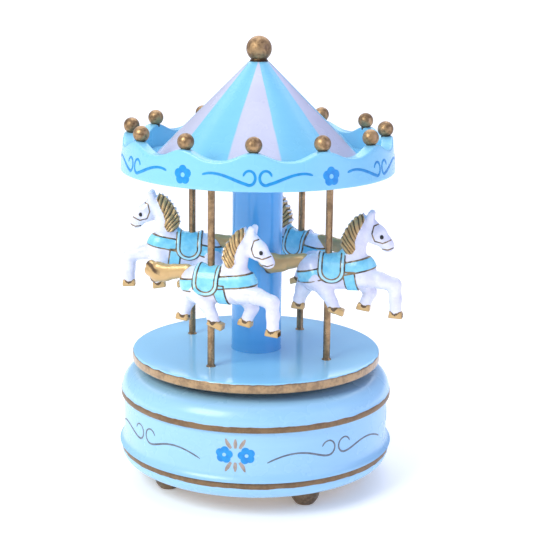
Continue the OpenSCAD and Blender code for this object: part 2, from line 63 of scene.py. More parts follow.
# A Mix node's factor and two colours, and its colour result, among the sockets of every type it mixes.
MIX_INPUTS = (0, 6, 7)
MIX_RESULT = 2

Rgb = tuple[float, float, float]
Point2 = tuple[float, float]
Face = tuple[int, ...]
Ball = tuple[float, ...]
Field = np.ndarray
Place = tuple[Field, Field, Field]
Material = bpy.types.Material
Mesh = bpy.types.Mesh
Socket = bpy.types.NodeSocket
Value = float | Socket


class Slot(Enum):
    """The record's material slots."""

    SKY = "sky_paint"
    COLUMN = "column_paint"
    HORSE = "horse_paint"
    BRONZE = "bronze_paint"
    ROD = "bronze_rod"
    WOOD = "plate_wood"
    STEEL = "steel"
    BRASS = "brass"
    ZINC = "zinc"
    NYLON = "nylon"


class Body(Enum):
    """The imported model's bodies that carry what shows."""

    BASE = "base"
    CAROUSEL = "carousel"


# ---- finishes ----


class Tree:
    """A node tree, with the short calls that materials and Geometry Nodes share."""

    def __init__(self, tree: bpy.types.NodeTree) -> None:
        """Keeps the tree that the calls add to."""
        self.tree = tree

    def put(self, socket: Socket, value: Value | Rgb) -> None:
        """Links a socket to another, or sets its own value.

        Args:
            socket: The input to feed.
            value: A socket, a number or a colour.
        """
        if isinstance(value, Socket):
            self.tree.links.new(value, socket)
        elif isinstance(value, tuple) and len(value) == 3 and len(socket.default_value) == 4:
            socket.default_value = (*value, 1)
        else:
            socket.default_value = value

    def add(self, kind: str, **inputs: Value | Rgb) -> bpy.types.Node:
        """A node with its inputs fed by name."""
        node = self.tree.nodes.new(kind)
        for key, value in inputs.items():
            self.put(node.inputs[key], value)
        return node

    def calc(self, operation: str, *values: Value) -> Socket:
        """The result of a Math node.

        Args:
            operation: The node's operation.
            values: Its inputs, sockets or numbers.

        Returns:
            The result's socket.
        """
        node = self.add("ShaderNodeMath")
        node.operation = operation
        for socket, value in zip(node.inputs, values):
            self.put(socket, value)
        return node.outputs[0]


class Graph(Tree):
    """A material's node tree, with short calls for the nodes that the finishes share."""

    def __init__(self, name: str) -> None:
        """Starts a material with one principled shader.

        Args:
            name: The material's name.
        """
        self.material = bpy.data.materials.new(name)
        self.material.use_nodes = True
        super().__init__(self.material.node_tree)
        self.tree.nodes.clear()
        self.shader = self.add("ShaderNodeBsdfPrincipled")
        self.add("ShaderNodeOutputMaterial", Surface=self.shader.outputs[0])
        self.place = self.add("ShaderNodeTexCoord").outputs["Object"]

    def mix(self, share: Value, low: Socket | Rgb, high: Socket | Rgb) -> Socket:
        """A colour between two others.

        Args:
            share: How much of the second colour shows, from 0 to 1.
            low: The first colour.
            high: The second colour.

        Returns:
            The mixed colour's socket.
        """
        node = self.add("ShaderNodeMix")
        node.data_type = "RGBA"
        for index, value in zip(MIX_INPUTS, (share, low, high)):
            self.put(node.inputs[index], value)
        return node.outputs[MIX_RESULT]

    def step(self, value: Value, low: Value, high: Value, out: tuple[float, float] = (0, 1)) -> Socket:
        """A smooth step from one number to another.

        Args:
            value: What is measured.
            low: Where the step starts.
            high: Where the step ends.
            out: The numbers before and after it.

        Returns:
            The stepped value's socket.
        """
        node = self.add("ShaderNodeMapRange")
        node.interpolation_type = "SMOOTHSTEP"
        for socket, number in zip(node.inputs, (value, low, high, *out)):
            self.put(socket, number)
        return node.outputs[0]

    def noise(self, scale: float, detail: float = 2, stretch: Rgb = (1, 1, 1)) -> Socket:
        """Noise in the piece's own space.

        Args:
            scale: Waves in a metre.
            detail: How many finer layers it has.
            stretch: How much denser it is along each axis.

        Returns:
            The noise's socket, near 0.5.
        """
        place = self.place
        if stretch != (1, 1, 1):
            place = self.add("ShaderNodeMapping", Vector=place, Scale=stretch).outputs[0]
        return self.add("ShaderNodeTexNoise", Vector=place, Scale=scale, Detail=detail).outputs[0]

    def patches(
        self, scale: float, detail: float, low: float, high: float, out: tuple[float, float] = (0, 1)
    ) -> Socket:
        """Noise with soft-edged patches.

        Args:
            scale: Waves in a metre.
            detail: How many finer layers it has.
            low: The noise where a patch starts.
            high: The noise where it is full.
            out: The numbers outside and inside a patch.

        Returns:
            The patches' socket.
        """
        return self.step(self.noise(scale, detail), low, high, out)

    def wander(self, scale: float, detail: float, reach: float) -> Socket:
        """Noise that strays as far as the reach to either side of zero."""
        return self.calc("MULTIPLY_ADD", self.noise(scale, detail), 2 * reach, -reach)

    def axes(self) -> tuple[Socket, Socket, Socket]:
        """The x, y and z sockets of the piece's own space, in metres."""
        return tuple(self.add("ShaderNodeSeparateXYZ", Vector=self.place).outputs)

    def attribute(self, name: str) -> Socket:
        """The socket of a number that the mesh carries at its points."""
        node = self.add("ShaderNodeAttribute")
        node.attribute_name = name
        return node.outputs["Fac"]

    def bump(self, height: Socket, depth_mm: float, strength: float = 1) -> None:
        """Raises the shader's normal.

        Args:
            height: The relief, from 0 to 1.
            depth_mm: How far 1 stands above 0.
            strength: The bump's share.
        """
        node = self.add("ShaderNodeBump", Strength=strength, Distance=depth_mm * MM, Height=height)
        previous = self.shader.inputs["Normal"]
        if previous.is_linked:
            self.tree.links.new(previous.links[0].from_socket, node.inputs["Normal"])
        self.tree.links.new(node.outputs[0], previous)

    def dress(
        self, colour: Value | Rgb, roughness: Value, metal: Value = 0.0, coat: float = 0.0
    ) -> Material:
        """Feeds the shader and hands back the finished material.

        Args:
            colour: The base colour.
            roughness: The surface's roughness.
            metal: How much of it is metal.
            coat: The weight of its clear coat.

        Returns:
            The material.
        """
        self.put(self.shader.inputs["Base Color"], colour)
        self.put(self.shader.inputs["Roughness"], roughness)
        self.put(self.shader.inputs["Metallic"], metal)
        self.put(self.shader.inputs["Coat Weight"], coat)
        self.put(self.shader.inputs["Coat Roughness"], COAT_ROUGHNESS)
        return self.material


@dataclass(frozen=True)
class Gilding:
    """Bronze paint: light where it is thick, brown where the brush ran dry."""

    light: Rgb = (0.46, 0.29, 0.14)
    dark: Rgb = (0.15, 0.082, 0.038)
    dark_share: float = 0.6
    fine_share: float = 0.45

    def colour(self, graph: Graph) -> Socket:
        """The mottled bronze colour's socket."""
        broad = graph.calc("MULTIPLY", graph.noise(210, 2), 1 - self.fine_share)
        blot = graph.calc("MULTIPLY_ADD", graph.noise(900, 3), self.fine_share, broad)
        return graph.mix(graph.step(blot, 0.42, 0.62, (0, self.dark_share)), self.light, self.dark)


@dataclass(frozen=True)
class Lacquer:
    """Sprayed gloss paint on turned wood, a little uneven, with dust under it."""

    name: str
    colour: Rgb
    thin: Rgb
    gloss: float = 0.24
    coat: float = 0.12
    bands: tuple[tuple[float, float], ...] = ()
    gilding: Gilding = Gilding()
    gilt_metal: float = 0.35
    gilt_roughness: float = 0.2
    edge_soft: float = 0.08
    # Painted shade at each band's edges: it starts this far inside the edge and is full this far inside, in
    # millimetres.
    shade_from: float = 0.55
    shade_to: float = 0.05

    def paint(self, graph: Graph) -> Socket:
        """The lacquer's own colour, before any band."""
        streak = graph.calc("MULTIPLY", graph.noise(55, 3, (1, 1, 10)), 0.6)
        cloud = graph.calc("MULTIPLY_ADD", graph.noise(28, 1), 0.7, streak)
        colour = graph.mix(graph.step(cloud, 0.3, 1.0), self.colour, self.thin)
        dust = graph.patches(520, 1, 0.8, 0.84, (0, 0.3))
        return graph.mix(dust, colour, tuple(0.45 * c for c in self.thin))

    def _bands(self, graph: Graph) -> tuple[Value, Value]:
        """Where the gilded bands lie and where painted shade darkens their edges, both brushed a little
        unevenly.
        """
        _, _, z = graph.axes()
        height = graph.calc("ADD", z, graph.wander(170, 3, 0.45 * MM))
        mask: Value = 0.0
        band_edge_shade: Value = 0.0
        soft, outer, inner = self.edge_soft * MM, self.shade_from * MM, self.shade_to * MM
        for low, high in self.bands:
            middle, half = (low + high) / 2 * MM, (high - low) / 2 * MM
            away = graph.calc("ABSOLUTE", graph.calc("SUBTRACT", height, middle))
            mask = graph.calc("MAXIMUM", mask, graph.step(away, half - soft, half + soft, (1, 0)))
            # Painted shade: the band is darkened towards both its edges.
            band_edge_shade = graph.calc("MAXIMUM", band_edge_shade, graph.step(away, half - outer, half - inner, (0, 0.7)))
        return mask, band_edge_shade

    def build(self) -> Material:
        """Makes the material."""
        graph = Graph(self.name)
        colour = self.paint(graph)
        rough: Value = graph.patches(85, 3, 0.3, 0.75, (self.gloss, self.gloss + 0.06))
        metal: Value = 0.0
        if self.bands:
            mask, band_edge_shade = self._bands(graph)
            # The gilding takes the painted shade at its edges.
            gilt = graph.mix(graph.calc("MULTIPLY", band_edge_shade, mask), self.gilding.colour(graph), self.gilding.dark)
            colour = graph.mix(mask, colour, gilt)
            metal = graph.calc("MULTIPLY", mask, self.gilt_metal)
            rough = graph.calc("MULTIPLY_ADD", mask, self.gilt_roughness, rough)
        graph.bump(graph.noise(620, 2), 0.012)
        graph.bump(graph.noise(38, 2), 0.06, 0.4)
        return graph.dress(colour, rough, metal, self.coat)


@dataclass(frozen=True)
class Striped(Lacquer):
    """Lacquer in wedges of two colours round a cone."""

    other: Rgb = (0.585, 0.595, 0.76)
    wedges: int = 5
    turn: float = 0.0
    inset: float = 1.0
    stray: float = math.radians(3.4)
    stray_turn: float = 0.35
    blur: float = 0.07

    def paint(self, graph: Graph) -> Socket:
        """Blue lacquer with pale wedges."""
        x, y, _ = graph.axes()
        angle = graph.calc("SUBTRACT", graph.calc("ARCTAN2", x, graph.calc("MULTIPLY", y, -1.0)), self.turn)
        drift = graph.calc("SINE", graph.calc("SUBTRACT", angle, self.stray_turn))
        drift = graph.calc("MULTIPLY", drift, self.stray)
        wave = graph.calc("COSINE", graph.calc("MULTIPLY", graph.calc("ADD", angle, drift), float(self.wedges)))
        radius = graph.calc("SQRT", graph.calc("ADD", graph.calc("POWER", x, 2.0), graph.calc("POWER", y, 2.0)))
        narrow = graph.calc("DIVIDE", self.wedges * self.inset * MM, radius)
        limit = graph.calc("SINE", graph.calc("MINIMUM", narrow, math.pi / 2))
        wave = graph.calc("ADD", wave, graph.wander(60, 2, 0.12))
        pale = graph.step(graph.calc("SUBTRACT", wave, limit), -self.blur, self.blur)
        milky = graph.mix(graph.patches(40, 3, 0.35, 0.7), self.other, tuple(0.9 * c for c in self.other))
        return graph.mix(pale, super().paint(graph), milky)


@dataclass(frozen=True)
class Bronze:
    """Bronze paint or bronzed metal over a whole piece."""

    name: str
    gilding: Gilding = Gilding()
    metal: float = 0.6
    gloss: float = 0.34
    grain: float = 0.03
    foot_shade: tuple[float, float] | None = None

    def build(self) -> Material:
        """Makes the material; painted shade darkens it below the first height and ends at the second, in
        millimetres.
        """
        graph = Graph(self.name)
        colour = self.gilding.colour(graph)
        # Painted shade: the piece is darkened towards its foot, where it sits on the part below.
        if self.foot_shade:
            _, _, z = graph.axes()
            height = graph.calc("ADD", z, graph.wander(500, 2, 0.3 * MM))
            low, high = self.foot_shade
            shaded = graph.step(height, low * MM, high * MM, (0.9, 0))
            colour = graph.mix(shaded, colour, tuple(0.3 * c for c in self.gilding.dark))
        rough = graph.patches(420, 3, 0.3, 0.7, (self.gloss, self.gloss + 0.2))
        graph.bump(graph.noise(1400, 3), self.grain)
        graph.bump(graph.noise(240, 2), 2.2 * self.grain)
        return graph.dress(colour, rough, self.metal, 0.1)


@dataclass(frozen=True)
class Ink:
    """Thick hand-brushed paint, mottled lighter and darker in small patches."""

    name: str
    light: Rgb
    dark: Rgb
    gloss: float = 0.3

    def build(self) -> Material:
        """Makes the material."""
        graph = Graph(self.name)
        colour = graph.mix(graph.patches(480, 3, 0.36, 0.66), self.light, self.dark)
        rough = graph.patches(800, 2, 0.3, 0.7, (self.gloss, self.gloss + 0.2))
        graph.bump(graph.noise(1500, 2), 0.02)
        return graph.dress(colour, rough, 0.0, 0.05)


@dataclass(frozen=True)
class Metal:
    """Machined metal with fine tool marks and a slight tarnish."""

    name: str
    colour: Rgb
    tarnish: Rgb
    gloss: float = 0.28
    metal: float = 1.0

    def build(self) -> Material:
        """Makes the material."""
        graph = Graph(self.name)
        marks = graph.noise(500, 2, (1, 1, 9))
        colour = graph.mix(graph.patches(160, 3, 0.4, 0.72, (0, 0.8)), self.colour, self.tarnish)
        graph.bump(marks, 0.006)
        rough = graph.step(marks, 0.3, 0.7, (self.gloss, self.gloss + 0.16))
        return graph.dress(colour, rough, self.metal)


@dataclass(frozen=True)
class Plywood:
    """Plain pressed wood of the box's bottom plate."""

    name: str
    light: Rgb = (0.47, 0.32, 0.18)
    dark: Rgb = (0.29, 0.18, 0.09)

    def build(self) -> Material:
        """Makes the material."""
        graph = Graph(self.name)
        grain = graph.noise(70, 4, (1, 14, 14))
        colour = graph.mix(graph.step(grain, 0.38, 0.66), self.light, self.dark)
        graph.bump(grain, 0.05)
        return graph.dress(colour, graph.step(grain, 0.3, 0.7, (0.5, 0.7)))


@dataclass(frozen=True)
class HorseCoat:
    """Gloss enamel of the little horses: white coat, turquoise tack, gilded mane, tail, hooves and edges."""

    name: str
    white: Rgb = (0.85, 0.84, 0.93)
    white_shade: Rgb = (0.72, 0.71, 0.85)
    tack: Rgb = (0.29, 0.72, 0.88)
    tack_shade: Rgb = (0.19, 0.60, 0.82)
    rim: Rgb = (0.54, 0.84, 0.93)
    gold: Rgb = (0.64, 0.41, 0.175)
    gold_shade: Rgb = (0.11, 0.062, 0.026)
    edge: Rgb = (0.06, 0.038, 0.025)

    def build(self) -> Material:
        """Makes the material."""
        graph = Graph(self.name)
        wander = graph.wander(650, 2, 0.25)

        def zone(name: str, soft: float = 0.07, share: float = 1.0) -> Socket:
            """Where the named distance is below zero, with a hand-painted edge."""
            away = graph.calc("MULTIPLY_ADD", wander, share, graph.attribute(name))
            return graph.step(away, -soft, soft, (1, 0))

        colour = graph.mix(graph.patches(180, 3, 0.35, 0.7), self.white, self.white_shade)
        cloth = graph.mix(graph.patches(300, 2, 0.35, 0.7), self.tack, self.tack_shade)
        cloth = graph.mix(graph.calc("MULTIPLY", zone("rim", 0.2), 0.75), cloth, self.rim)
        in_tack, in_line, in_gold = zone("tack"), zone("line", 0.05, 0.45), zone("gold", 0.06)
        colour = graph.mix(in_tack, colour, cloth)
        line = graph.mix(graph.patches(520, 2, 0.4, 0.6, (0.62, 1)), self.gold, self.edge)
        colour = graph.mix(in_line, colour, line)
        crest = graph.calc("ADD", graph.attribute("strand"), graph.calc("MULTIPLY", wander, 1.2))
        gold = graph.mix(graph.step(crest, -0.95, -0.2), self.gold_shade, self.gold)
        colour = graph.mix(in_gold, colour, gold)
        gilt = graph.calc("MAXIMUM", in_gold, graph.calc("MULTIPLY", in_line, 0.6))
        rough = graph.calc("MULTIPLY_ADD", gilt, 0.12, graph.patches(350, 2, 0.3, 0.7, (0.2, 0.34)))
        graph.bump(graph.noise(900, 2), 0.03)
        return graph.dress(colour, rough, graph.calc("MULTIPLY", gilt, 0.3), 0.35)


class PaintBox:
    """All finishes, each made once, and the one for every slot of a CAD node that still shows."""

    def __init__(self) -> None:
        """Mixes every finish."""
        bright = Gilding((0.47, 0.29, 0.14), (0.12, 0.066, 0.03), 0.75)
        dull = Gilding((0.24, 0.15, 0.08), (0.075, 0.045, 0.027), 0.7)
        bare = Gilding((0.40, 0.255, 0.135), (0.12, 0.072, 0.038), 0.5)
        beads, edge = ((13.2, 15.5), (35.3, 37.8)), ((48.9, 53.05),)
        drum = Lacquer("sky_lacquer_banded", (0.36, 0.645, 0.885), (0.335, 0.62, 0.875), bands=beads)
        table = Lacquer("sky_lacquer_table", (0.335, 0.70, 0.95), (0.315, 0.68, 0.94), 0.1, 0.5, edge)
        cone = Striped("cone_lacquer", (0.215, 0.585, 0.81), (0.195, 0.555, 0.79), turn=math.radians(-3))
        self.drum, self.table, self.cone = drum.build(), table.build(), cone.build()
        self.sky = Lacquer("sky_lacquer", (0.262, 0.63, 0.87), (0.24, 0.605, 0.855)).build()
        # Painted shade: the column is the body's sky paint, given a darker, deeper blue for the canopy's shade
        # over it.
        self.column = Lacquer("column_lacquer", (0.115, 0.445, 0.84), (0.098, 0.41, 0.81), 0.18, 0.3).build()
        self.bead = Bronze("bronze_paint_bead", bright, foot_shade=(140.9, 142.2)).build()
        self.finial = Bronze("bronze_paint_finial", bright, foot_shade=(169.9, 171.3)).build()
        self.foot = Bronze("bronze_paint_foot", dull, 0.4, 0.34).build()
        self.rod = Bronze("bronze_rod_metal", bare, 0.85, 0.24, 0.012).build()
        self.blue_ink = Ink("flower_blue_ink", (0.008, 0.31, 0.74), (0.005, 0.24, 0.68)).build()
        self.scroll_ink = Ink("scroll_blue_ink", (0.008, 0.30, 0.68), (0.005, 0.235, 0.60)).build()
        self.grey_ink = Ink("scroll_grey_ink", (0.17, 0.20, 0.25), (0.11, 0.125, 0.16), 0.4).build()
        self.leaf_ink = Ink("leaf_bronze_ink", (0.44, 0.35, 0.30), (0.30, 0.235, 0.20), 0.4).build()
        self.horse = HorseCoat("horse_enamel").build()
        self.eye = Ink("eye_black_enamel", (0.004, 0.004, 0.005), (0.007, 0.007, 0.008), 0.3).build()
        self.by_slot = {
            Slot.SKY: self.sky,
            Slot.COLUMN: self.column,
            Slot.HORSE: self.horse,
            Slot.BRONZE: self.bead,
            Slot.ROD: self.rod,
            Slot.STEEL: Metal("steel_machined", (0.62, 0.62, 0.63), (0.42, 0.41, 0.40)).build(),
            Slot.BRASS: Metal("brass_machined", (0.80, 0.58, 0.26), (0.55, 0.37, 0.16)).build(),
            Slot.ZINC: Metal("zinc_cast", (0.52, 0.53, 0.55), (0.36, 0.37, 0.39), 0.45).build(),
            Slot.NYLON: Metal("nylon_moulded", (0.78, 0.77, 0.72), (0.66, 0.64, 0.58), 0.4, 0.0).build(),
            Slot.WOOD: Plywood("plywood_plate").build(),
        }


# ---- mesh making ----


@dataclass
class Shell:
    """Points in millimetres and the faces between them."""

    points: np.ndarray
    faces: list[Face]

    def joined(self, other: "Shell") -> "Shell":
        """This shell and another as one."""
        shift = len(self.points)
        moved = [tuple(i + shift for i in f) for f in other.faces]
        return Shell(np.vstack([self.points, other.points]), self.faces + moved)

    def mesh(self, name: str, outward: bool = True) -> Mesh:
        """A Blender mesh in metres.

        Args:
            name: The mesh's name.
            outward: Whether the normals are worked out afresh.

        Returns:
            The mesh.
        """
        mesh = bpy.data.meshes.new(name)
        mesh.from_pydata((self.points * MM).tolist(), [], self.faces)
        if outward:
            work = bmesh.new()
            work.from_mesh(mesh)
            bmesh.ops.remove_doubles(work, verts=work.verts, dist=MERGE)
            bmesh.ops.recalc_face_normals(work, faces=work.faces)
            work.to_mesh(mesh)
            work.free()
        return mesh


def quads(rings: int, count: int, closed: bool) -> list[Face]:
    """Faces between rings of points that follow one another.

    Args:
        rings: How many rings there are.
        count: How many points each has.
        closed: Whether the last ring meets the first.

    Returns:
        The faces.
    """
    faces = []
    for i in range(rings if closed else rings - 1):
        here, there = i * count, (i + 1) % rings * count
        for k in range(count):
            after = (k + 1) % count
            faces.append((here + k, here + after, there + after, there + k))
    return faces


def arc(x: float, z: float, radius: float, start: float, end: float, steps: int = 8) -> list[Point2]:
    """Points along an arc.

    Args:
        x: The centre's first coordinate.
        z: The centre's second coordinate.
        radius: The arc's radius.
        start: Its first angle, in degrees.
        end: Its last angle, in degrees.
        steps: How many chords it has.

    Returns:
        The points, both ends among them.
    """
    angles = [math.radians(start + (end - start) * i / steps) for i in range(steps + 1)]
    return [(x + radius * math.cos(a), z + radius * math.sin(a)) for a in angles]


def lathe(outline: Sequence[Point2], segments: int, loop: bool = False) -> Shell:
    """Turns an outline about the Z axis.

    Args:
        outline: Radius and height of each point, in order.
        segments: How many flats the turn has.
        loop: Whether the outline closes on itself, as a ring's does.

    Returns:
        The turned shell.
    """
    angles = np.linspace(0, 2 * math.pi, segments, endpoint=False)
    points, rings = [], []
    for radius, z in outline:
        start = len(points)
        if radius < TINY:
            points.append((0.0, 0.0, z))
            rings.append([start] * segments)
        else:
            points += [(radius * math.sin(a), -radius * math.cos(a), z) for a in angles]
            rings.append(list(range(start, start + segments)))
    pairs = list(zip(rings, rings[1:])) + ([(rings[-1], rings[0])] if loop else [])
    faces = []
    for low, high in pairs:
        for i in range(segments):
            j = (i + 1) % segments
            corners = list(dict.fromkeys((low[i], low[j], high[j], high[i])))
            if len(corners) > 2:
                faces.append(tuple(corners))
    return Shell(np.array(points), faces)


def ribbon(path: np.ndarray, width: Callable[[float], float], lift: float, sink: float = 0.12) -> Shell:
    """A low rounded stroke of paint along a flat path.

    Args:
        path: The stroke's middle, as along-the-wall and height pairs.
        width: The stroke's width for a share of its length.
        lift: How far its crown stands proud.
        sink: How far its rim goes into the wall.

    Returns:
        The stroke, with x along the wall, y outwards and z up.
    """
    forward = np.gradient(path, axis=0)
    forward /= np.linalg.norm(forward, axis=1)[:, None]
    side = np.stack([-forward[:, 1], forward[:, 0]], 1)
    rise = [(-0.92, 0.55 * lift), (-0.5, 0.92 * lift), (0, lift), (0.5, 0.92 * lift), (0.92, 0.55 * lift)]
    profile = [(-1, -sink), *rise, (1, -sink)]
    count, points = len(profile), []
    for i, (at, out) in enumerate(zip(path, side)):
        half = width(i / (len(path) - 1)) / 2
        points += [(at[0] + out[0] * s * half, h, at[1] + out[1] * s * half) for s, h in profile]
    faces = quads(len(path), count, closed=False)
    faces += [tuple(range(count)), tuple((len(path) - 1) * count + k for k in range(count))]
    return Shell(np.array(points), faces)


def flower(
    x: float, z: float, radius: float, eye: float, turn: float, lift: float = 0.14, sink: float = 0.12
) -> Shell:
    """A five-petalled flower of thick paint round a bare eye.

    Args:
        x: Its middle along the wall.
        z: Its middle's height.
        radius: The petals' reach.
        eye: The bare eye's radius.
        turn: The first petal's angle from upright, in degrees.
        lift: How far the petals stand proud.
        sink: How far their rims go into the wall.

    Returns:
        The flower in the wall's own flat space.
    """
    spokes, petals, points = 80, 5, []
    crown = [(0.05, 0.6), (0.3, 1.0), (0.7, 1.0), (0.94, 0.6)]
    rows = [(0.0, -sink), *((share, height * lift) for share, height in crown), (1.0, -sink)]
    for i in range(spokes):
        angle = 2 * math.pi * i / spokes
        lobe = abs(math.cos(petals / 2 * (angle - math.radians(90 + turn)))) ** 0.75
        reach = radius * (0.77 + 0.23 * lobe)
        for share, height in rows:
            r = eye + (reach - eye) * share
            points.append((x + r * math.cos(angle), height, z + r * math.sin(angle)))
    return Shell(np.array(points), quads(spokes, len(rows), closed=True))


def bezier(a: Point2, b: Point2, c: Point2, d: Point2, steps: int) -> np.ndarray:
    """Points along a cubic curve, its first end left out.

    Args:
        a: The first end.
        b: The first handle.
        c: The second handle.
        d: The last end.
        steps: How many points there are.

    Returns:
        The points.
    """
    t = np.linspace(0, 1, steps + 1)[1:, None]
    a, b, c, d = (np.array(p) for p in (a, b, c, d))
    return (1 - t) ** 3 * a + 3 * t * (1 - t) ** 2 * b + 3 * t * t * (1 - t) * c + t**3 * d


class RingOfCopies(Tree):
    """Geometry Nodes that set copies round the Z axis, and can first wrap a flat motif onto a turned wall."""

    def __init__(self, name: str, wrap: bool) -> None:
        """Builds the tree.

        Args:
            name: The tree's name.
            wrap: Whether the motif is flat, and is bent onto the wall.
        """
        super().__init__(bpy.data.node_groups.new(name, "GeometryNodeTree"))
        face = self.tree.interface
        face.new_socket("Geometry", in_out="INPUT", socket_type="NodeSocketGeometry")
        kinds = {"Copies": "Int", "First Angle": "Float", "Unevenness": "Float", "Seed": "Int"}
        kinds["Finish"] = "Material"
        if wrap:
            kinds |= {"Wall Radius": "Float", "Wall Slope": "Float", "Height": "Float"}
        for key, kind in kinds.items():
            face.new_socket(key, in_out="INPUT", socket_type="NodeSocket" + kind)
        face.new_socket("Geometry", in_out="OUTPUT", socket_type="NodeSocketGeometry")
        self.given = self.add("NodeGroupInput").outputs
        motif = self._wrapped() if wrap else self.given["Geometry"]
        line = self.add("GeometryNodeMeshLine", Count=self.given["Copies"], Offset=(0, 0, 0))
        share = self.calc("DIVIDE", 2 * math.pi, self.given["Copies"])
        index = self.add("GeometryNodeInputIndex").outputs[0]
        angle = self.calc("MULTIPLY_ADD", index, share, self.given["First Angle"])
        chance = self.add("FunctionNodeRandomValue", Seed=self.given["Seed"])
        nudge = self.calc("MULTIPLY", self.calc("SUBTRACT", chance.outputs[1], 0.5), self.given["Unevenness"])
        turn = self.add("ShaderNodeCombineXYZ", Z=self.calc("ADD", angle, nudge))
        copies = self.add(
            "GeometryNodeInstanceOnPoints", Points=line.outputs[0], Instance=motif, Rotation=turn.outputs[0]
        )
        real = self.add("GeometryNodeRealizeInstances", Geometry=copies.outputs[0])
        dressed = self.add("GeometryNodeSetMaterial", Geometry=real.outputs[0], Material=self.given["Finish"])
        self.add("NodeGroupOutput", Geometry=dressed.outputs[0])

    def _wrapped(self) -> Socket:
        """Bends the flat motif onto the wall: x runs round it, y stands out and z goes up."""
        place = self.add("GeometryNodeInputPosition").outputs[0]
        flat = self.add("ShaderNodeSeparateXYZ", Vector=place).outputs
        reach = self.calc("MULTIPLY_ADD", flat[2], self.given["Wall Slope"], self.given["Wall Radius"])
        angle = self.calc("DIVIDE", flat[0], reach)
        radius = self.calc("ADD", reach, flat[1])
        x = self.calc("MULTIPLY", radius, self.calc("SINE", angle))
        y = self.calc("MULTIPLY", self.calc("MULTIPLY", radius, self.calc("COSINE", angle)), -1.0)
        z = self.calc("ADD", flat[2], self.given["Height"])
        bent = self.add("ShaderNodeCombineXYZ", X=x, Y=y, Z=z)
        moved = self.add("GeometryNodeSetPosition", Geometry=self.given["Geometry"], Position=bent.outputs[0])
        return moved.outputs[0]

    def grow(self, piece: bpy.types.Object, values: dict[str, object]) -> None:
        """Runs the tree on a piece and keeps the result as its plain mesh.

        Args:
            piece: The piece that holds one copy.
            values: The tree's inputs by name.
        """
        modifier = piece.modifiers.new(self.tree.name, "NODES")
        modifier.node_group = self.tree
        for item in self.tree.interface.items_tree:
            if item.in_out == "INPUT" and item.name in values:
                modifier[item.identifier] = values[item.name]
        graph = bpy.context.evaluated_depsgraph_get()
        grown = bpy.data.meshes.new_from_object(piece.evaluated_get(graph), depsgraph=graph)
        piece.modifiers.remove(modifier)
        piece.data = grown


@dataclass
class Workshop:
    """Turns meshes into named pieces that ride on the frame."""

    paints: PaintBox
    ring: RingOfCopies
    frieze: RingOfCopies

    def piece(
        self,
        name: str,
        shape: Shell | Mesh,
        finish: Material,
        body: Body,
        slot: Slot,
        replaces: Sequence[str] = (),
        copies: dict[str, float] | None = None,
        wrap: bool = False,
        crease: float = 38,
    ) -> None:
        """Makes one finished piece.

        Args:
            name: The piece's name.
            shape: Its shell or mesh, or one copy's.
            finish: Its material.
            body: The body it rides on.
            slot: The record's slot for its finish; not used.
            replaces: The CAD nodes it stands for.
            copies: The inputs of the tree that repeats it, if it is repeated.
            wrap: Whether it is a flat motif for a wall.
            crease: The angle past which an edge stays sharp, in degrees.
        """
        mesh = shape.mesh(name) if isinstance(shape, Shell) else shape
        mesh.materials.append(finish)
        piece = bpy.data.objects.new(name, mesh)
        bpy.context.scene.collection.objects.link(piece)
        if copies is not None:
            (self.frieze if wrap else self.ring).grow(piece, {"Finish": finish, "Seed": 7, **copies})
            piece.data.name = name
        piece.data.shade_smooth()
        piece.data.set_sharp_from_angle(angle=math.radians(crease))
        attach(piece, body.value)
        if replaces:
            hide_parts(*replaces)
        LOG.info("%s: %d faces on %s", name, len(piece.data.polygons), body.value)


def spread(copies: int, first: float, uneven: float, **others: float) -> dict[str, float]:
    """The inputs of a ring of copies.

    Args:
        copies: How many there are.
        first: The first one's angle, in degrees.
        uneven: How far in all an angle may stray, in degrees.
        others: The seed and a wall's measures.

    Returns:
        The inputs by name.
    """
    return {"Copies": copies, "First Angle": math.radians(first), "Unevenness": math.radians(uneven), **others}


# ---- the painted ornament ----


@dataclass(frozen=True)
class Scroll:
    """Half of a scroll pair: a hook that opens outwards and a long waving tail."""

    hook: Point2
    hook_size: Point2
    hook_from: float
    hook_to: float
    tail: tuple[Point2, Point2, Point2]
    thick: float
    lift: float = 0.1

    def shell(self) -> Shell:
        """Both halves of the pair, back to back."""
        angles = np.radians(np.linspace(self.hook_from, self.hook_to, 34))
        turn = np.stack([np.cos(angles), np.sin(angles)], 1)
        hook = np.array(self.hook) + np.array(self.hook_size) * turn
        path = np.vstack([hook, bezier(tuple(hook[-1]), *self.tail, 44)])

        def width(share: float) -> float:
            """Thin where the brush lands and leaves, full in the wave."""
            ends = min(1.0, 0.5 + 22 * share, 0.5 + 22 * (1 - share))
            return self.thick * ends * (0.94 + 0.12 * math.sin(math.pi * (2.1 * share - 0.6)))

        half = ribbon(path, width, self.lift)
        other = ribbon(path * np.array([-1, 1]), width, self.lift)
        return half.joined(other)


@dataclass(frozen=True)
class Posy:
    """Two small flowers side by side, with three leaves above and three below."""

    gap: float = 4.3
    petal_reach: float = 3.5
    eye: float = 0.66

    def flowers(self) -> Shell:
        """Both flowers."""
        left = flower(-self.gap, 0.05, self.petal_reach, self.eye, -8)
        return left.joined(flower(self.gap, 0, self.petal_reach, self.eye, 14))

    def leaves(self) -> Shell:
        """The six leaves."""

        def width(share: float) -> float:
            """Full in the middle and drawn to a point."""
            return 0.4 + 1.2 * math.sin(math.pi * min(1, 0.12 + 0.86 * share)) ** 0.7

        leaves = []
        for up in (1, -1):
            for side in (-1, 0, 1):
                inner, outer = (side * 1.6, up * 2.8), (side * 3.8, up * 6.5)
                middle = tuple((a + b) / 2 + 0.25 * side for a, b in zip(inner, outer))
                path = np.vstack([[inner], bezier(inner, middle, middle, outer, 14)])
                leaves.append(ribbon(path, width, 0.09))
        return reduce(Shell.joined, leaves)


# ---- sub-assemblies ----


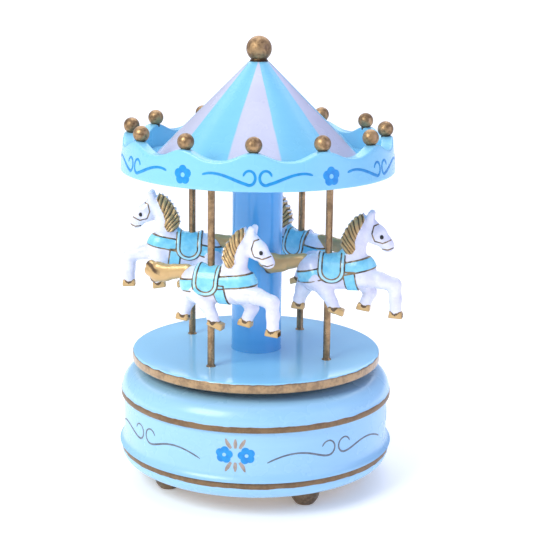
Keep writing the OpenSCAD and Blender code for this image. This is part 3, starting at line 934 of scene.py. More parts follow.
@dataclass
class Drum:
    """The turned base with its two bronze beads, its painted wall and its four bun feet."""

    shop: Workshop
    hollow_r: float = 45.8
    wall_r: float = 53.8
    band_r: float = 55.1
    top_flat_r: float = 46.6
    hole_r: float = 4.0
    foot_ring_r: float = 40.0
    foot_r: float = 6.1
    foot_first: float = 30.0
    lower_curve_r: float = 5.1
    roof: float = 4.9
    lower_bead: tuple[Point2, ...] = ((-0.15, 13.35), (0, 13.7), (0.05, 14.35), (0, 15.0), (-0.15, 15.4))
    upper_bead: tuple[Point2, ...] = ((-0.25, 35.42), (0, 35.75), (0.05, 36.5), (0, 37.3), (-0.12, 37.7))
    motifs: int = 4
    posy_turn: float = -2.2
    posy_uneven: float = 13
    pair_turn: float = 38.3
    pair_uneven: float = 7
    ornament_z: float = 26.1

    def outline(self) -> list[Point2]:
        """The drum's section, from the foot of the hollow round the outside and back."""
        low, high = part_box("base_drum")
        foot, top = low.z / MM, high.z / MM
        roof = top - self.roof
        section = [(self.hollow_r, foot), (47.9, foot)]
        section += arc(50, foot + self.lower_curve_r, self.lower_curve_r, -90, -4, 14)
        section += [(self.band_r + out, z) for out, z in self.lower_bead]
        section += arc(57.3, 18.9, 3.5, 245, 180, 9)
        section += [(self.wall_r, z) for z in (22, 25, 28, 31, 34)]
        section += arc(self.wall_r + 0.5, 34.9, 0.5, 180, 90, 3)
        section += [(self.band_r + out, z) for out, z in self.upper_bead]
        section += arc(self.top_flat_r, 37.7, 8.1, 4, 84, 16)
        section += [(r, top) for r in (self.top_flat_r - 1.2, 30, self.hole_r)]
        return section + [(self.hole_r, roof), (self.hollow_r, roof)]

    def build(self) -> None:
        """Turns the drum and sets its feet and ornament."""
        paints, piece = self.shop.paints, self.shop.piece
        drum = lathe(self.outline(), segments=256, loop=True)
        piece("drum_shell", drum, paints.drum, Body.BASE, Slot.SKY, ["base_drum"])
        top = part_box("foot_front")[1].z / MM
        foot = [(0, 0.3), (1.9, 0.3), (2.2, 0)] + arc(3.3, 0.7, 0.7, -90, -32, 5)
        foot += [(4.5, 1.1), (5.2, 2.2), (5.65, 3.5), (5.95, 5.0), (self.foot_r, 6.4)]
        foot += [(self.foot_r, top - 0.05), (0, top - 0.05)]
        shell = lathe(foot, segments=56)
        shell.points[:, 1] -= self.foot_ring_r
        nodes = ["foot_front", "foot_right", "foot_back", "foot_left"]
        copies = spread(len(nodes), self.foot_first, 0.0)
        piece("bun_feet", shell, paints.foot, Body.BASE, Slot.BRONZE, nodes, copies)
        self._ornament()

    def _ornament(self) -> None:
        """Paints four posies and four scroll pairs round the wall."""
        paints, posy = self.shop.paints, Posy()
        scroll = Scroll((3.85, 0.7), (2.9, 2.95), 18, 274, ((9, -2.3), (15.5, 4.1), (28.8, -2.8)), 0.8, 0.08)
        wall = {"Wall Radius": self.wall_r * MM, "Wall Slope": 0.0, "Height": self.ornament_z * MM}
        posies = spread(self.motifs, self.posy_turn, self.posy_uneven, Seed=382, **wall)
        pairs = spread(self.motifs, self.pair_turn, self.pair_uneven, Seed=334, **wall)
        for name, shell, ink, copies in (
            ("drum_flowers", posy.flowers(), paints.blue_ink, posies),
            ("drum_leaves", posy.leaves(), paints.leaf_ink, posies),
            ("drum_scrolls", scroll.shell(), paints.grey_ink, pairs),
        ):
            self.shop.piece(name, shell, ink, Body.BASE, Slot.SKY, copies=copies, wrap=True)


@dataclass
class Stage:
    """The turning platform, its column and its four bronze poles."""

    shop: Workshop
    table_r: float = 50.4
    edge: float = 0.9
    column_r: float = 10.1
    pole_r: float = 1.4

    def build(self) -> None:
        """Turns the platform and column, and stands the poles."""
        paints, piece = self.shop.paints, self.shop.piece
        low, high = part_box("turntable")
        foot, top = low.z / MM, high.z / MM
        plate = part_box("canopy_plate")[0].z / MM
        rim = self.table_r - self.edge
        disc = [(0, foot), (20, foot), (40, foot)] + arc(rim, foot + self.edge, self.edge, -90, 0, 6)
        disc += [(self.table_r + 0.05, (foot + top) / 2)] + arc(rim, top - self.edge, self.edge, 0, 90, 6)
        disc += [(40, top), (25, top), (0, top)]
        platform = lathe(disc, segments=256)
        piece("platform", platform, paints.table, Body.CAROUSEL, Slot.SKY, ["turntable"])
        post = [(0, top), (self.column_r + 0.15, top), (self.column_r + 0.15, top + 0.35)]
        post += arc(self.column_r + 0.35, top + 0.75, 0.35, 235, 180, 3)
        post += [(self.column_r, z) for z in np.linspace(top + 4, plate - 3, 8)]
        post += arc(self.column_r - 0.4, plate - 0.4, 0.4, 0, 90, 3) + [(0, plate)]
        column = lathe(post, segments=128)
        piece("centre_column", column, paints.column, Body.CAROUSEL, Slot.COLUMN, ["column"])
        for corner in CORNERS:
            self._pole(f"pole_{corner}", top)

    def _pole(self, node: str, top: float) -> None:
        """Stands one pole with a small collar in its hole.

        Args:
            node: The CAD node that it stands for.
            top: The platform's upper face.
        """
        low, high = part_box(node)
        tip, r = high.z / MM, self.pole_r
        rod = [(0, top - 3), (r, top - 3), (r, top), (r + 0.5, top - 0.02)]
        rod += [(r + 0.45, top + 0.25), (r + 0.1, top + 0.5), (r, top + 0.9)]
        rod += [(r, z) for z in np.linspace(top + 6, tip - 1, 10)] + [(r - 0.3, tip), (0, tip)]
        shell = lathe(rod, segments=40)
        shell.points[:, :2] += np.array([low.x + high.x, low.y + high.y]) / 2 / MM
        self.shop.piece(node + "_rod", shell, self.shop.paints.rod, Body.CAROUSEL, Slot.ROD, [node])


@dataclass
class Canopy:
    """The scalloped skirt, the striped cone, the ring of bronze beads and the finial."""

    shop: Workshop
    skirt_r: float = 54.5
    skirt_top_r: float = 53.2
    skirt_in_r: float = 48.6
    scallops: int = 12
    scallop_depth: float = 3.4
    first_bead: float = -1.6
    bead_ring_r: float = 50.2
    bead_r: float = 3.15
    cone_tip_r: float = 3.9
    cone_wall: float = 3.0
    finial_r: float = 5.04
    uneven: float = 0.7
    motifs: int = 6
    ornament_turn: float = 0.1
    ornament_z: float = 132.3

    def _skirt(self, foot: float, peak: float) -> Shell:
        """The skirt's ring, its top edge waving up to each bead.

        Args:
            foot: The height of its lower edge.
            peak: The height of its peaks.

        Returns:
            The ring.
        """
        turns, soft, inner = 288, 0.85, self.skirt_in_r
        points: list[Ball] = []
        for i in range(turns):
            angle = 2 * math.pi * i / turns
            wave = 0.5 + 0.5 * math.cos(self.scallops * (angle - math.radians(self.first_bead)))
            top = peak - self.scallop_depth * (1 - wave**1.35)

            def wall(z: float) -> float:
                """The outer wall's radius at a height."""
                return self.skirt_r + (self.skirt_top_r - self.skirt_r) * (z - foot) / (peak - foot)

            crown = wall(top)
            section = arc(wall(foot + 0.6) - 0.6, foot + 0.6, 0.6, -90, 0, 4)
            section += [(wall(z), z) for z in np.linspace(foot + 1.4, top - soft - 0.4, 12)]
            section += arc(crown - soft, top - soft, soft, 8, 84, 6)
            section += arc(inner + soft, top - soft, soft, 96, 172, 6)
            section += [(inner, z) for z in np.linspace(top - soft - 0.5, foot + 0.8, 6)]
            section.append((inner + 0.5, foot))
            points += [(r * math.sin(angle), -r * math.cos(angle), z) for r, z in section]
        faces = [face[:1] + face[:0:-1] for face in quads(turns, len(points) // turns, closed=True)]
        return Shell(np.array(points), faces)

    def _cone(self, foot: float, tip: float) -> list[Point2]:
        """The cone's section, with a rounded foot and a hollow underside."""
        foot_r = self.cone_tip_r + tip - foot
        hollow = self.cone_wall * 1.4
        section = [(foot_r - hollow, foot), (foot_r - 0.5, foot), (foot_r - 0.12, foot + 0.25)]
        section += [(foot_r - (z - foot), z) for z in np.linspace(foot + 0.6, tip - 0.6, 40)]
        section += [(self.cone_tip_r, tip - 0.1), (self.cone_tip_r - 0.4, tip), (0, tip), (0, tip - 9)]
        section += [(foot_r - hollow - (tip - 9 - foot) * 0.86, tip - 9)]
        return section

    def build(self) -> None:
        """Builds the skirt, cone, beads, finial and ornament."""
        paints, piece = self.shop.paints, self.shop.piece
        low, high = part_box("canopy_skirt")
        foot, peak = low.z / MM, high.z / MM
        skirt = self._skirt(foot, peak)
        piece("scalloped_skirt", skirt, paints.sky, Body.CAROUSEL, Slot.SKY, ["canopy_skirt"], crease=50)
        low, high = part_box("canopy_cone")
        tip = high.z / MM
        cone = lathe(self._cone(low.z / MM, tip), segments=240, loop=True)
        piece("striped_cone", cone, paints.cone, Body.CAROUSEL, Slot.SKY, ["canopy_cone"])
        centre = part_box("canopy_beads")[1].z / MM - self.bead_r
        ball = [(0, peak - 1.2), (1.65, peak - 1.2), (1.7, peak + 0.2)]
        ball += arc(0, centre, self.bead_r, -53, 84, 24) + [(0, centre + self.bead_r)]
        shell = lathe(ball, segments=48)
        shell.points[:, 1] -= self.bead_ring_r
        copies = spread(self.scallops, self.first_bead, self.uneven)
        piece("skirt_beads", shell, paints.bead, Body.CAROUSEL, Slot.BRONZE, ["canopy_beads"], copies)
        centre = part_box("finial")[1].z / MM - self.finial_r
        knob = [(0, tip - 0.3), (3.5, tip - 0.3), (3.62, tip + 0.1), (3.55, tip + 0.45), (3.2, tip + 0.7)]
        knob += arc(0, centre, self.finial_r, -52, 86, 30) + [(0, centre + self.finial_r)]
        finial = lathe(knob, segments=72)
        piece("finial_ball", finial, paints.finial, Body.CAROUSEL, Slot.BRONZE, ["finial"])
        self._ornament(foot, peak)

    def _ornament(self, foot: float, peak: float) -> None:
        """Paints six flowers and six scroll pairs round the skirt."""
        slope = (self.skirt_top_r - self.skirt_r) / (peak - foot)
        radius = self.skirt_r + slope * (self.ornament_z - foot)
        scroll = Scroll((3.0, 0.0), (2.2, 2.6), 14, 300, ((8.5, -1.2), (15.0, 3.0), (20.6, 0.6)), 1.15, 0.13)
        bloom = flower(0, -0.2, 3.72, 0.8, 3)
        wall = {"Wall Radius": radius * MM, "Wall Slope": slope, "Height": self.ornament_z * MM}
        turn, half_step = self.ornament_turn, 180 / self.motifs
        paints = self.shop.paints
        for name, shell, ink, first in (
            ("skirt_scrolls", scroll.shell(), paints.scroll_ink, turn),
            ("skirt_flowers", bloom, paints.blue_ink, turn + half_step),
        ):
            copies = spread(self.motifs, first, self.uneven, **wall)
            self.shop.piece(name, shell, ink, Body.CAROUSEL, Slot.SKY, copies=copies, wrap=True)


# ---- the horses ----


def bone(at: Place, a: Ball, b: Ball, thin: float) -> Field:
    """Distance to a rounded bar between two balls.

    Args:
        at: The x, y and z fields.
        a: The first ball's centre and radius.
        b: The second ball's centre and radius.
        thin: How much narrower than high it is.

    Returns:
        The distance field, negative inside.
    """
    dx, dy, dz = b[0] - a[0], (b[1] - a[1]) * thin, b[2] - a[2]
    px, py, pz = at[0] - a[0], (at[1] - a[1]) * thin, at[2] - a[2]
    t = np.clip((px * dx + py * dy + pz * dz) / max(dx * dx + dy * dy + dz * dz, TINY), 0, 1)
    return np.sqrt((px - t * dx) ** 2 + (py - t * dy) ** 2 + (pz - t * dz) ** 2) - (a[3] + t * (b[3] - a[3]))


def chain(at: Place, balls: Sequence[Ball], thin: float, soft: float) -> Field:
    """Distance to bars that follow one another, softly joined.

    Args:
        at: The x, y and z fields.
        balls: Each ball's centre and radius, in order.
        thin: How much narrower than high the bars are.
        soft: How wide the joints are.

    Returns:
        The distance field, negative inside.
    """
    field = bone(at, balls[0], balls[1], thin)
    for a, b in zip(balls[1:], balls[2:]):
        field = melt(field, bone(at, a, b, thin), soft)
    return field


def melt(a: Field, b: Field, soft: float) -> Field:
    """The union of two fields with a rounded joint."""
    h = np.clip(0.5 + 0.5 * (b - a) / soft, 0, 1)
    return b + (a - b) * h - soft * h * (1 - h)


def meet(a: Field, b: Field, soft: float = 0.25) -> Field:
    """The part that two fields share, with a rounded edge."""
    return -melt(-a, -b, soft)


def outline_distance(x: Field, z: Field, corners: Sequence[Point2]) -> Field:
    """Signed distance to a flat closed outline, negative inside."""
    nearest = np.full(np.broadcast(x, z).shape, 1e9)
    flips = np.zeros(nearest.shape, bool)
    for (x0, z0), (x1, z1) in zip(corners, list(corners[1:]) + [corners[0]]):
        ex, ez = x1 - x0, z1 - z0
        t = np.clip(((x - x0) * ex + (z - z0) * ez) / (ex * ex + ez * ez), 0, 1)
        nearest = np.minimum(nearest, (x - x0 - t * ex) ** 2 + (z - z0 - t * ez) ** 2)
        crosses = (z0 > z) != (z1 > z)
        flips ^= crosses & (x < ex * (z - z0) / (ez if ez else TINY) + x0)
    return np.sqrt(nearest) * np.where(flips, -1, 1)


def line_distance(x: Field, z: Field, path: Sequence[Point2]) -> Field:
    """Distance to a flat open line."""
    nearest = np.full(np.broadcast(x, z).shape, 1e9)
    for (x0, z0), (x1, z1) in zip(path, path[1:]):
        ex, ez = x1 - x0, z1 - z0
        t = np.clip(((x - x0) * ex + (z - z0) * ez) / (ex * ex + ez * ez), 0, 1)
        nearest = np.minimum(nearest, np.hypot(x - x0 - t * ex, z - z0 - t * ez))
    return nearest


@dataclass(frozen=True)
class Horse:
    """A galloping horse in millimetres: x forward, y to its left, z up, from the saddle's top on the pole."""

    tack_x: float = 0.9
    girth_x: float = 6.5
    strap_z: float = -6.35
    strap_rise: float = 0.16
    grid: float = 0.34
    strap_half: float = 2.3
    strap_proud: float = 0.42
    cloth_proud: float = 0.75
    mane_proud: float = 0.55
    eye_at: Point2 = (21.3, 7.1)
    eye_r: float = 0.68
    eye_sunk: float = 0.04
    mane_outline: tuple[Point2, ...] = (
        (13.7, 16.0), (11.2, 14.8), (8.7, 12.2), (6.5, 8.8), (5.0, 5.4), (5.4, 2.7), (7.4, 0.6), (9.9, 0.5),
        (11.2, 2.5), (10.9, 5.2), (11.9, 8.2), (13.4, 11.0), (14.7, 13.8),
    )
    mane_centre: Point2 = (20.8, -12.2)
    lock_step: float = 3.8
    crest_balls: tuple[Ball, ...] = (
        (13.3, 0, 14.4, 1.3), (10.6, 0, 12.0, 2.0), (8.2, 0, 7.8, 2.3), (7.4, 0, 3.4, 2.8),
    )
    tail_balls: tuple[Ball, ...] = (
        (-10.2, 0, -3.1, 2.5), (-15.5, 0, -3.9, 2.6), (-19.4, 0, -4.7, 3.3),
        (-22.6, 0, -4.7, 3.8), (-24.2, 0, -4.4, 3.2),
    )
    tail_lobes: tuple[Ball, ...] = ((-25.6, 0, -2.3, 2.1), (-26.2, 0, -4.9, 2.0), (-24.0, 0, -7.2, 2.1))
    hooves: tuple[Ball, ...] = (
        (26.7, -3.0, -23.3, 2.6, -4), (13.2, 3.0, -22.1, 2.6, -10),
        (3.4, -3.0, -22.3, 3.1, -20), (-13.1, 3.0, -22.3, 2.5, -6),
    )
    neck_balls: tuple[Ball, ...] = (
        (9.6, 0, -2.4, 5.2), (10.4, 0, 3.2, 4.3), (12.8, 0, 9.6, 3.9), (15.0, 0, 12.4, 2.7),
    )
    head_balls: tuple[Ball, ...] = (
        (16.6, 0, 11.3, 2.9), (19.5, 0, 7.7, 3.4), (22.3, 0, 4.6, 2.6), (23.7, 0, 3.2, 2.3),
    )
    legs: tuple[tuple[Ball, ...], ...] = (
        ((13.2, -2.6, -9.0, 3.9), (20.2, -3.0, -9.7, 3.2), (26.2, -3.0, -11.5, 2.7),
         (26.6, -3.0, -17.0, 2.45), (26.6, -3.0, -22.2, 2.4)),
        ((12.6, 2.6, -10.6, 3.8), (15.9, 3.0, -16.2, 2.5), (13.5, 3.0, -21.4, 2.25)),
        ((-4.6, -2.4, -9.4, 4.7), (-0.8, -3.0, -14.4, 3.1), (1.7, -3.0, -19.4, 2.2), (2.6, -3.0, -21.6, 2.3)),
        ((-7.8, 2.4, -9.6, 5.0), (-10.9, 3.0, -15.2, 3.1), (-12.6, 3.0, -19.6, 2.3), (-12.7, 3.0, -21.6, 2.3)),
    )
    mouth: tuple[Point2, ...] = ((26.2, 2.6), (24.3, 2.9), (22.6, 2.4))
    nostril: Point2 = (24.6, 4.5)
    cheek_strap: tuple[Point2, ...] = (
        (20.9, 12.4), (18.3, 11.4), (17.5, 8.4), (18.6, 5.5), (21.6, 4.6), (25.6, 6.2),
    )
    chin_strap: tuple[Point2, ...] = ((25.6, 2.7), (23.6, 1.9), (21.4, 2.2))
    net_low: Ball = (-30.2, -7.6, -26.6)
    net_high: Ball = (29.2, 7.6, 18.6)
    far: float = 9.0

    def _torso(self, at: Place) -> Field:
        """The trunk with its chest and haunch."""
        trunk = bone(at, (-5.0, 0, -7.5, 6.9), (12.0, 0, -7.5, 6.9), 1.34)
        haunch = bone(at, (-5.9, 0, -7.2, 6.4), (-5.4, 0, -9.2, 6.3), 1.2)
        chest = bone(at, (12.6, 0, -5.4, 5.2), (12.0, 0, -8.2, 5.0), 1.12)
        return melt(melt(trunk, haunch, 1.4), chest, 1.4)

    def _neck_and_head(self, at: Place) -> Field:
        """The neck, head, muzzle and ears."""
        x, y, z = at
        neck = chain(at, self.neck_balls, 1.28, 1.2)
        head = chain(at, self.head_balls, 1.32, 1.2)
        cheek = bone(at, (17.9, 0, 6.6, 2.7), (18.8, 0, 6.2, 2.6), 0.98)
        chin = bone(at, (22.6, 0, 2.6, 1.5), (23.4, 0, 2.4, 1.4), 1.1)
        field = melt(melt(neck, melt(head, cheek, 1.0), 1.6), chin, 0.7)
        side = np.abs(y)
        ear = bone((x, side, z), (16.2, 1.5, 12.4, 1.75), (17.1, 2.0, 15.8, 1.3), 1.7)
        field = melt(field, ear, 0.7)
        socket = np.sqrt((x - self.eye_at[0]) ** 2 + (z - self.eye_at[1]) ** 2)
        mouth = line_distance(x, z, self.mouth)
        nostril = np.hypot(x - self.nostril[0], z - self.nostril[1])
        carve = 0.24 * np.exp(-((socket - 1.25) / 0.5) ** 2) + 0.28 * np.exp(-((mouth / 0.3) ** 2))
        carve = carve + 0.35 * np.exp(-((nostril / 0.42) ** 2))
        return field + carve * np.clip(side - 0.9, 0, 1)

    def _legs(self, at: Place) -> Field:
        """The four legs, without their hooves."""
        first, *others = (chain(at, leg, 1.08, 1.0) for leg in self.legs)
        return reduce(lambda field, leg: melt(field, leg, 0.5), others, first)

    def _hooves(self, at: Place) -> Field:
        """The hooves as tilted rounded wedges."""
        fields = []
        for hx, hy, hz, half, tilt in self.hooves:
            c, s = math.cos(math.radians(tilt)), math.sin(math.radians(tilt))
            px, py, pz = at[0] - hx, at[1] - hy, at[2] - hz
            u, w = px * c + pz * s, -px * s + pz * c
            flare = 1 - 0.05 * np.clip(w, -2, 2)
            q = (np.abs(u) / flare - half + 0.5, np.abs(py) / flare - 1.5, np.abs(w) - 0.75)
            outside = np.sqrt(sum(np.maximum(v, 0) ** 2 for v in q))
            fields.append(outside + np.minimum(np.maximum(np.maximum(q[0], q[1]), q[2]), 0) - 0.55)
        return reduce(np.minimum, fields)

    def _strap(self, x: Field, z: Field) -> Field:
        """Flat distance to the strap round the body, breast to breeching."""
        return np.abs(z - (self.strap_z + self.strap_rise * x)) - self.strap_half

    def _girth(self, x: Field, z: Field) -> Field:
        """Flat distance to the girth under the belly."""
        return np.maximum(np.abs(x - (self.girth_x + 0.14 * (-8.5 - z))) - 2.3, z + 6.5)

    def _cloth(self, x: Field, z: Field) -> Field:
        """Flat distance to the saddle cloth's rounded flap."""
        straight = np.where(z > -5.9, np.abs(x - self.tack_x), np.hypot(x - self.tack_x, z + 5.9))
        return straight - 5.2

    def _strands(self, x: Field, z: Field) -> Field:
        """Locks of the mane that fan out from the throat, from -1 in a furrow to 1 on a crest."""
        out, up = x - self.mane_centre[0], z - self.mane_centre[1]
        angle = np.degrees(np.arctan2(up, out))
        sway = 34 * np.sin(np.hypot(out, up) * 0.75)
        return np.sin(np.radians(angle * 360 / self.lock_step + sway + 40 * np.sin(np.radians(angle * 31))))

    def _tail_strands(self, x: Field, z: Field) -> Field:
        """Lengthwise locks of the tail."""
        bend = np.interp(x, (-28, -25, -22.8, -19.4, -16, -10), (-1.2, -2.6, -4.2, -4.8, -3.8, -3.1))
        spread = np.interp(x, (-28, -22.8, -19.4, -16, -10), (4.4, 4.2, 3.5, 2.7, 2.4))
        return np.maximum(np.sin((z - bend) / spread * 4.4 + 0.9 + 0.12 * x), np.clip((x + 19.5) / 3.5, -1, 1))

    def field(self, at: Place) -> Field:
        """Signed distance to the whole figure."""
        x, y, z = at
        torso = self._torso(at)
        field = melt(melt(torso, self._neck_and_head(at), 1.6), self._legs(at), 1.5)
        strap = meet(torso - self.strap_proud, np.minimum(self._strap(x, z), self._girth(x, z)))
        cloth_edge = self._cloth(x, z)
        rim = 0.22 * np.exp(-(((cloth_edge + 0.75) / 0.5) ** 2))
        cloth = meet(torso - self.cloth_proud - rim, np.maximum(cloth_edge, -11.6 - z))
        pommel = bone(at, (4.9, 0, -0.4, 1.5), (5.3, 0, 0.5, 0.9), 0.5)
        cantle = bone(at, (-3.6, 0, -0.6, 1.3), (-4.1, 0, 0.1, 0.8), 0.45)
        mane_flat = outline_distance(x, z, self.mane_outline)
        crest = chain(at, self.crest_balls, 1.35, 0.8)
        strands = self._strands(x, z)
        lock = self.mane_proud + 0.34 * strands
        mane = meet(np.minimum(field, crest) - lock, mane_flat - 0.32 * strands, 0.4)
        tail = chain(at, self.tail_balls, 1.5, 0.9)
        for ball in self.tail_lobes:
            tail = melt(tail, bone(at, ball, ball, 1.5), 0.5)
        tail = tail - 0.2 * self._tail_strands(x, z)
        for part in (strap, cloth, mane):
            field = np.minimum(field, part)
        field = melt(field, np.minimum(pommel, cantle), 0.5)
        field = melt(field, tail, 0.5)
        return melt(field, self._hooves(at), 0.6)

    def zones(self, at: Place) -> dict[str, Field]:
        """The painter's distances at points of the surface.

        Args:
            at: The x, y and z of the points.

        Returns:
            A number for each point under each zone's name.
        """
        x, y, z = at
        torso = self._torso(at)
        near_torso = torso - 1.25
        strap, girth, cloth = self._strap(x, z), self._girth(x, z), self._cloth(x, z)
        tack = np.minimum(np.maximum(np.minimum(strap, girth), near_torso), np.maximum(cloth, torso - 2.6))
        side = np.where(np.abs(y) > 0.4, 0.0, 5.0)
        edges = np.minimum(np.abs(strap), np.abs(girth))
        edges = np.where(cloth < 0.1, self.far, edges)
        edges = np.minimum(edges, np.abs(cloth + 0.02))
        edges = np.minimum(np.where(cloth < -0.5, np.abs(cloth + 1.55), self.far), edges)
        edges = np.maximum(edges, near_torso)
        bridle = np.minimum(line_distance(x, z, self.cheek_strap), line_distance(x, z, self.chin_strap))
        bridle = np.where(x > 17, bridle, self.far) + side
        lines = np.minimum(edges - 0.3, bridle - 0.27)
        mane = outline_distance(x, z, self.mane_outline) - 0.1
        tail = np.minimum(chain(at, self.tail_balls, 1.5, 0.9) - 0.5, np.where(x < -20, 0.0, self.far) - 0.5)
        hooves = self._hooves(at) - 0.35
        hair = np.minimum(mane, tail)
        strand = np.where(mane < tail, self._strands(x, z), self._tail_strands(x, z))
        strand = np.where(hooves < 0, np.where(hooves > -0.26, -1.0, 0.5), strand)
        rim = np.maximum(np.abs(cloth + 0.8) - 0.5, near_torso)
        return {"tack": tack, "line": lines, "gold": np.minimum(hair, hooves), "strand": strand, "rim": rim}

    def _net(self) -> Shell:
        """Wraps the figure in quads on a fine grid and draws them onto the surface."""
        low, high = np.array(self.net_low), np.array(self.net_high)
        count = np.ceil((high - low) / self.grid).astype(int) + 1
        axes = [low[a] + self.grid * np.arange(count[a]) for a in range(3)]
        spread = (axes[0][:, None, None], axes[1][None, :, None], axes[2][None, None, :])
        values = np.broadcast_to(self.field(spread), tuple(count))
        inside = values < 0
        corners = [(i, j, k) for i in (0, 1) for j in (0, 1) for k in (0, 1)]
        cells = tuple(n - 1 for n in count)

        def shifted(grid: np.ndarray, at: tuple[int, int, int]) -> np.ndarray:
            """The grid seen from one corner of each cell."""
            return grid[at[0]:at[0] + cells[0], at[1]:at[1] + cells[1], at[2]:at[2] + cells[2]]

        total = sum(shifted(inside, c).astype(np.int8) for c in corners)
        active = np.argwhere((total > 0) & (total < 8))
        where = np.full(cells, -1)
        where[tuple(active.T)] = np.arange(len(active))
        centre, hits = np.zeros((len(active), 3)), np.zeros(len(active))
        for a in corners:
            for axis in range(3):
                if a[axis]:
                    continue
                b = tuple(v + (n == axis) for n, v in enumerate(a))
                va, vb = values[tuple((active + a).T)], values[tuple((active + b).T)]
                cross = (va < 0) != (vb < 0)
                t = np.where(cross, va / np.where(cross, va - vb, 1), 0)
                centre += (np.array(a) + t[:, None] * (np.array(b) - np.array(a))) * cross[:, None]
                hits += cross
        points = low + self.grid * (active + centre / hits[:, None])
        faces: list[Face] = []
        for axis in range(3):
            u, v = (axis + 1) % 3, (axis + 2) % 3
            step = [slice(None)] * 3
            near, far = list(step), list(step)
            near[axis], far[axis] = slice(0, -1), slice(1, None)
            edge = np.argwhere(inside[tuple(near)] != inside[tuple(far)])
            eu, ev = np.eye(3, dtype=int)[u], np.eye(3, dtype=int)[v]
            edge = edge[(edge[:, u] > 0) & (edge[:, v] > 0) & (edge[:, u] < cells[u]) & (edge[:, v] < cells[v])]
            quad = np.stack([where[tuple((edge - shift).T)] for shift in (0 * eu, eu, eu + ev, ev)], 1)
            flip = ~inside[tuple(edge.T)]
            quad[flip] = quad[flip][:, ::-1]
            faces += [tuple(q) for q in quad.tolist()]
        for _ in range(2):
            points = self._drawn(points)
        return Shell(points, faces)

    def _drawn(self, points: np.ndarray) -> np.ndarray:
        """Moves points along the field's slope onto the surface."""
        reach = 0.05
        here = self.field(tuple(points.T))
        slope = np.stack([self.field(tuple((points + reach * e).T)) - here for e in np.eye(3)], 1) / reach
        size = np.maximum(np.sum(slope**2, 1), 0.3)
        move = -(here / size)[:, None] * slope
        length = np.linalg.norm(move, axis=1)
        return points + move * np.minimum(1, 0.5 * self.grid / np.maximum(length, TINY))[:, None]

    def _eyes(self) -> Shell:
        """Two small domes that stand in the eye sockets."""
        sides = np.linspace(0.5, 4.5, 400)
        ex, ez = self.eye_at
        depth = self.field((np.full(sides.shape, ex), sides, np.full(sides.shape, ez)))
        out = sides[np.argmax(depth > 0)] - self.eye_sunk
        r = self.eye_r
        ball = lathe([(0, -0.3), (0.45, -0.2)] + arc(0, 0, r, -10, 82, 8) + [(0, r)], segments=24)
        x, y, z = ball.points.T
        domes = (np.stack([x * 1.15 + ex, side * (out + z * 0.55), y * 1.3 + ez], 1) for side in (1, -1))
        return reduce(Shell.joined, [Shell(dome, ball.faces) for dome in domes])

    def sculpt(self) -> tuple[Mesh, Mesh]:
        """The painted body and the eyes, each about the pole."""
        shell = self._net()
        body = shell.mesh("horse_body", outward=False)
        for name, values in self.zones(tuple(shell.points.T)).items():
            layer = body.attributes.new(name, "FLOAT", "POINT")
            layer.data.foreach_set("value", np.asarray(values, np.float32))
        return body, self._eyes().mesh("horse_eyes")


@dataclass(frozen=True)
class Perch:
    """How one horse hangs on its pole, and how its own tack lies: cloth, girth and strap."""

    at: str
    heading: float
    saddle: float
    pitch: float
    horse: Horse

    def place(self) -> Matrix:
        """The horse's place on its pole, in metres."""
        low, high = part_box("pole_" + self.at)
        spot = ((low.x + high.x) / 2, (low.y + high.y) / 2, self.saddle * MM)
        turn = Matrix.Rotation(math.radians(self.heading), 4, "Z")
        return Matrix.Translation(spot) @ turn @ Matrix.Rotation(-math.radians(self.pitch), 4, "Y")


@dataclass
class Troop:
    """The four horses, alike in shape, each with its own tack, hung on their poles."""

    shop: Workshop
    perches: tuple[Perch, ...] = (
        Perch("front_left", -20.5, 93.9, 0.0, Horse(-0.3, 5.2, -6.35, 0.15)),
        Perch("front_right", -12.5, 96.9, 2.0, Horse(1.9, 8.9, -6.9, 0.22)),
        Perch("back_right", 147.0, 96.6, 0.0, Horse()),
        Perch("back_left", 177.8, 97.2, 0.8, Horse(strap_z=-5.9)),
    )

    def build(self) -> None:
        """Sculpts each horse and hangs it on its pole."""
        for perch in self.perches:
            node, paints, piece = "horse_" + perch.at, self.shop.paints, self.shop.piece
            figure, pair = perch.horse.sculpt()
            figure.transform(perch.place())
            pair.transform(perch.place())
            piece(node + "_figure", figure, paints.horse, Body.CAROUSEL, Slot.HORSE, [node], crease=180)
            piece(node + "_eyes", pair, paints.eye, Body.CAROUSEL, Slot.HORSE)


@dataclass
class Movement:
    """The spring movement inside the drum and the hidden fixings, which keep their own solids."""

    shop: Workshop

    def dress(self) -> None:
        """Gives every CAD node that still shows the finish of its slot."""
        slots = {row["node"]: Slot(row["material_slot"]) for row in frame["record"]["subparts"]}
        for name, node in frame["nodes"].items():
            finish = self.shop.paints.by_slot[slots[name]]
            if not node.material_slots:
                node.data.materials.append(finish)
            for holder in node.material_slots:
                holder.material = finish
            LOG.info("%s: %s", name, finish.name)


# ---- studio ----


@dataclass(frozen=True)
class Softbox:
    """A square soft light, its power in watts."""

    name: str
    spot: Rgb
    size: float
    power: float
    colour: Rgb = (1.0, 1.0, 1.0)
    aim: Rgb = MIDDLE

    def hang(self) -> None:
        """Hangs the light so that it faces its aim."""
        data = bpy.data.lights.new(self.name, "AREA")
        data.size, data.energy, data.color = self.size, self.power, self.colour
        light = bpy.data.objects.new(self.name, data)
        bpy.context.scene.collection.objects.link(light)
        toward = Vector(self.aim) - Vector(self.spot)
        light.rotation_euler = toward.to_track_quat("-Z", "Y").to_euler()
        light.location = self.spot


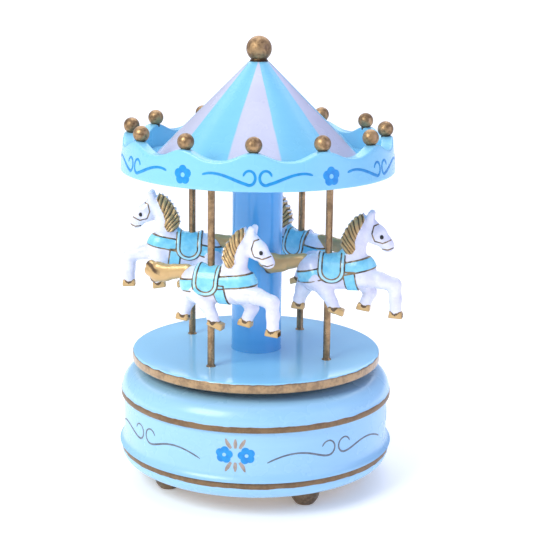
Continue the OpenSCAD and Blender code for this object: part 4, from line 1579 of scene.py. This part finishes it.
@dataclass
class Studio:
    """A pale sweep of floor, soft lights and the camera."""

    aim: Rgb = MIDDLE
    distance: float = 0.574
    elevation: float = 13.18
    roll: float = 0.66
    lens: float = 95.84
    sensor: float = 36.0
    view: Point2 = (0.01, 40)
    floor_half: float = 14.0
    floor_glow: float = 0.25
    air: Rgb = (0.64, 0.71, 1.0)
    air_strength: float = 0.55
    lights: tuple[Softbox, ...] = (
        Softbox("key_softbox", (-0.60, -0.58, 0.76), 0.55, 7.9, (1.0, 1.0, 0.86)),
        Softbox("fill_softbox", (0.80, -0.35, 0.35), 0.6, 1.8, (0.62, 0.66, 1.0)),
        Softbox("top_softbox", (0.0, 0.10, 1.0), 0.6, 1.9),
        Softbox("far_softbox", (0.0, 3.2, 2.4), 4.5, 95.0, aim=(0.0, 3.0, 0.0)),
    )

    def build(self) -> None:
        """Sets the floor, lights, world and camera."""
        self._floor()
        for light in self.lights:
            light.hang()
        world = bpy.data.worlds.new("studio_air")
        bpy.context.scene.world = world
        world.use_nodes = True
        air = world.node_tree.nodes["Background"].inputs
        air["Color"].default_value, air["Strength"].default_value = (*self.air, 1), self.air_strength
        bpy.context.scene.view_settings.view_transform = "Standard"
        self._camera()

    def _floor(self) -> None:
        """A wide plain floor."""
        mesh = bpy.data.meshes.new("studio_floor")
        half = self.floor_half
        corners = [(-half, -half, 0), (half, -half, 0), (half, half, 0), (-half, half, 0)]
        mesh.from_pydata(corners, [], [(0, 1, 2, 3)])
        floor = bpy.data.objects.new("studio_floor", mesh)
        bpy.context.scene.collection.objects.link(floor)
        graph = Graph("studio_paper")
        tone = graph.mix(graph.patches(3, 2, 0.3, 0.7), (0.93, 0.93, 0.935), (0.915, 0.915, 0.925))
        graph.put(graph.shader.inputs["Emission Color"], (1.0, 0.98, 0.95))
        graph.put(graph.shader.inputs["Emission Strength"], self.floor_glow)
        mesh.materials.append(graph.dress(tone, 0.85))

    def _camera(self) -> None:
        """Stands the camera a little above the object's middle."""
        data = bpy.data.cameras.new("studio_camera")
        data.lens, data.sensor_width = self.lens, self.sensor
        data.clip_start, data.clip_end = self.view
        camera = bpy.data.objects.new("studio_camera", data)
        bpy.context.scene.collection.objects.link(camera)
        rise = math.radians(self.elevation)
        x, y, z = self.aim
        spot = (x, y - self.distance * math.cos(rise), z + self.distance * math.sin(rise))
        camera.matrix_world = (
            Matrix.Translation(spot)
            @ Matrix.Rotation(math.radians(90 - self.elevation), 4, "X")
            @ Matrix.Rotation(math.radians(self.roll), 4, "Z")
        )
        bpy.context.scene.camera = camera


def main() -> None:
    logging.basicConfig(level=logging.INFO, format="%(name)s: %(message)s")
    Studio().build()
    shop = Workshop(PaintBox(), RingOfCopies("ring_of_copies", False), RingOfCopies("painted_frieze", True))
    Movement(shop).dress()
    Drum(shop).build()
    Stage(shop).build()
    Canopy(shop).build()
    Troop(shop).build()


if __name__ == "__main__":
    main()
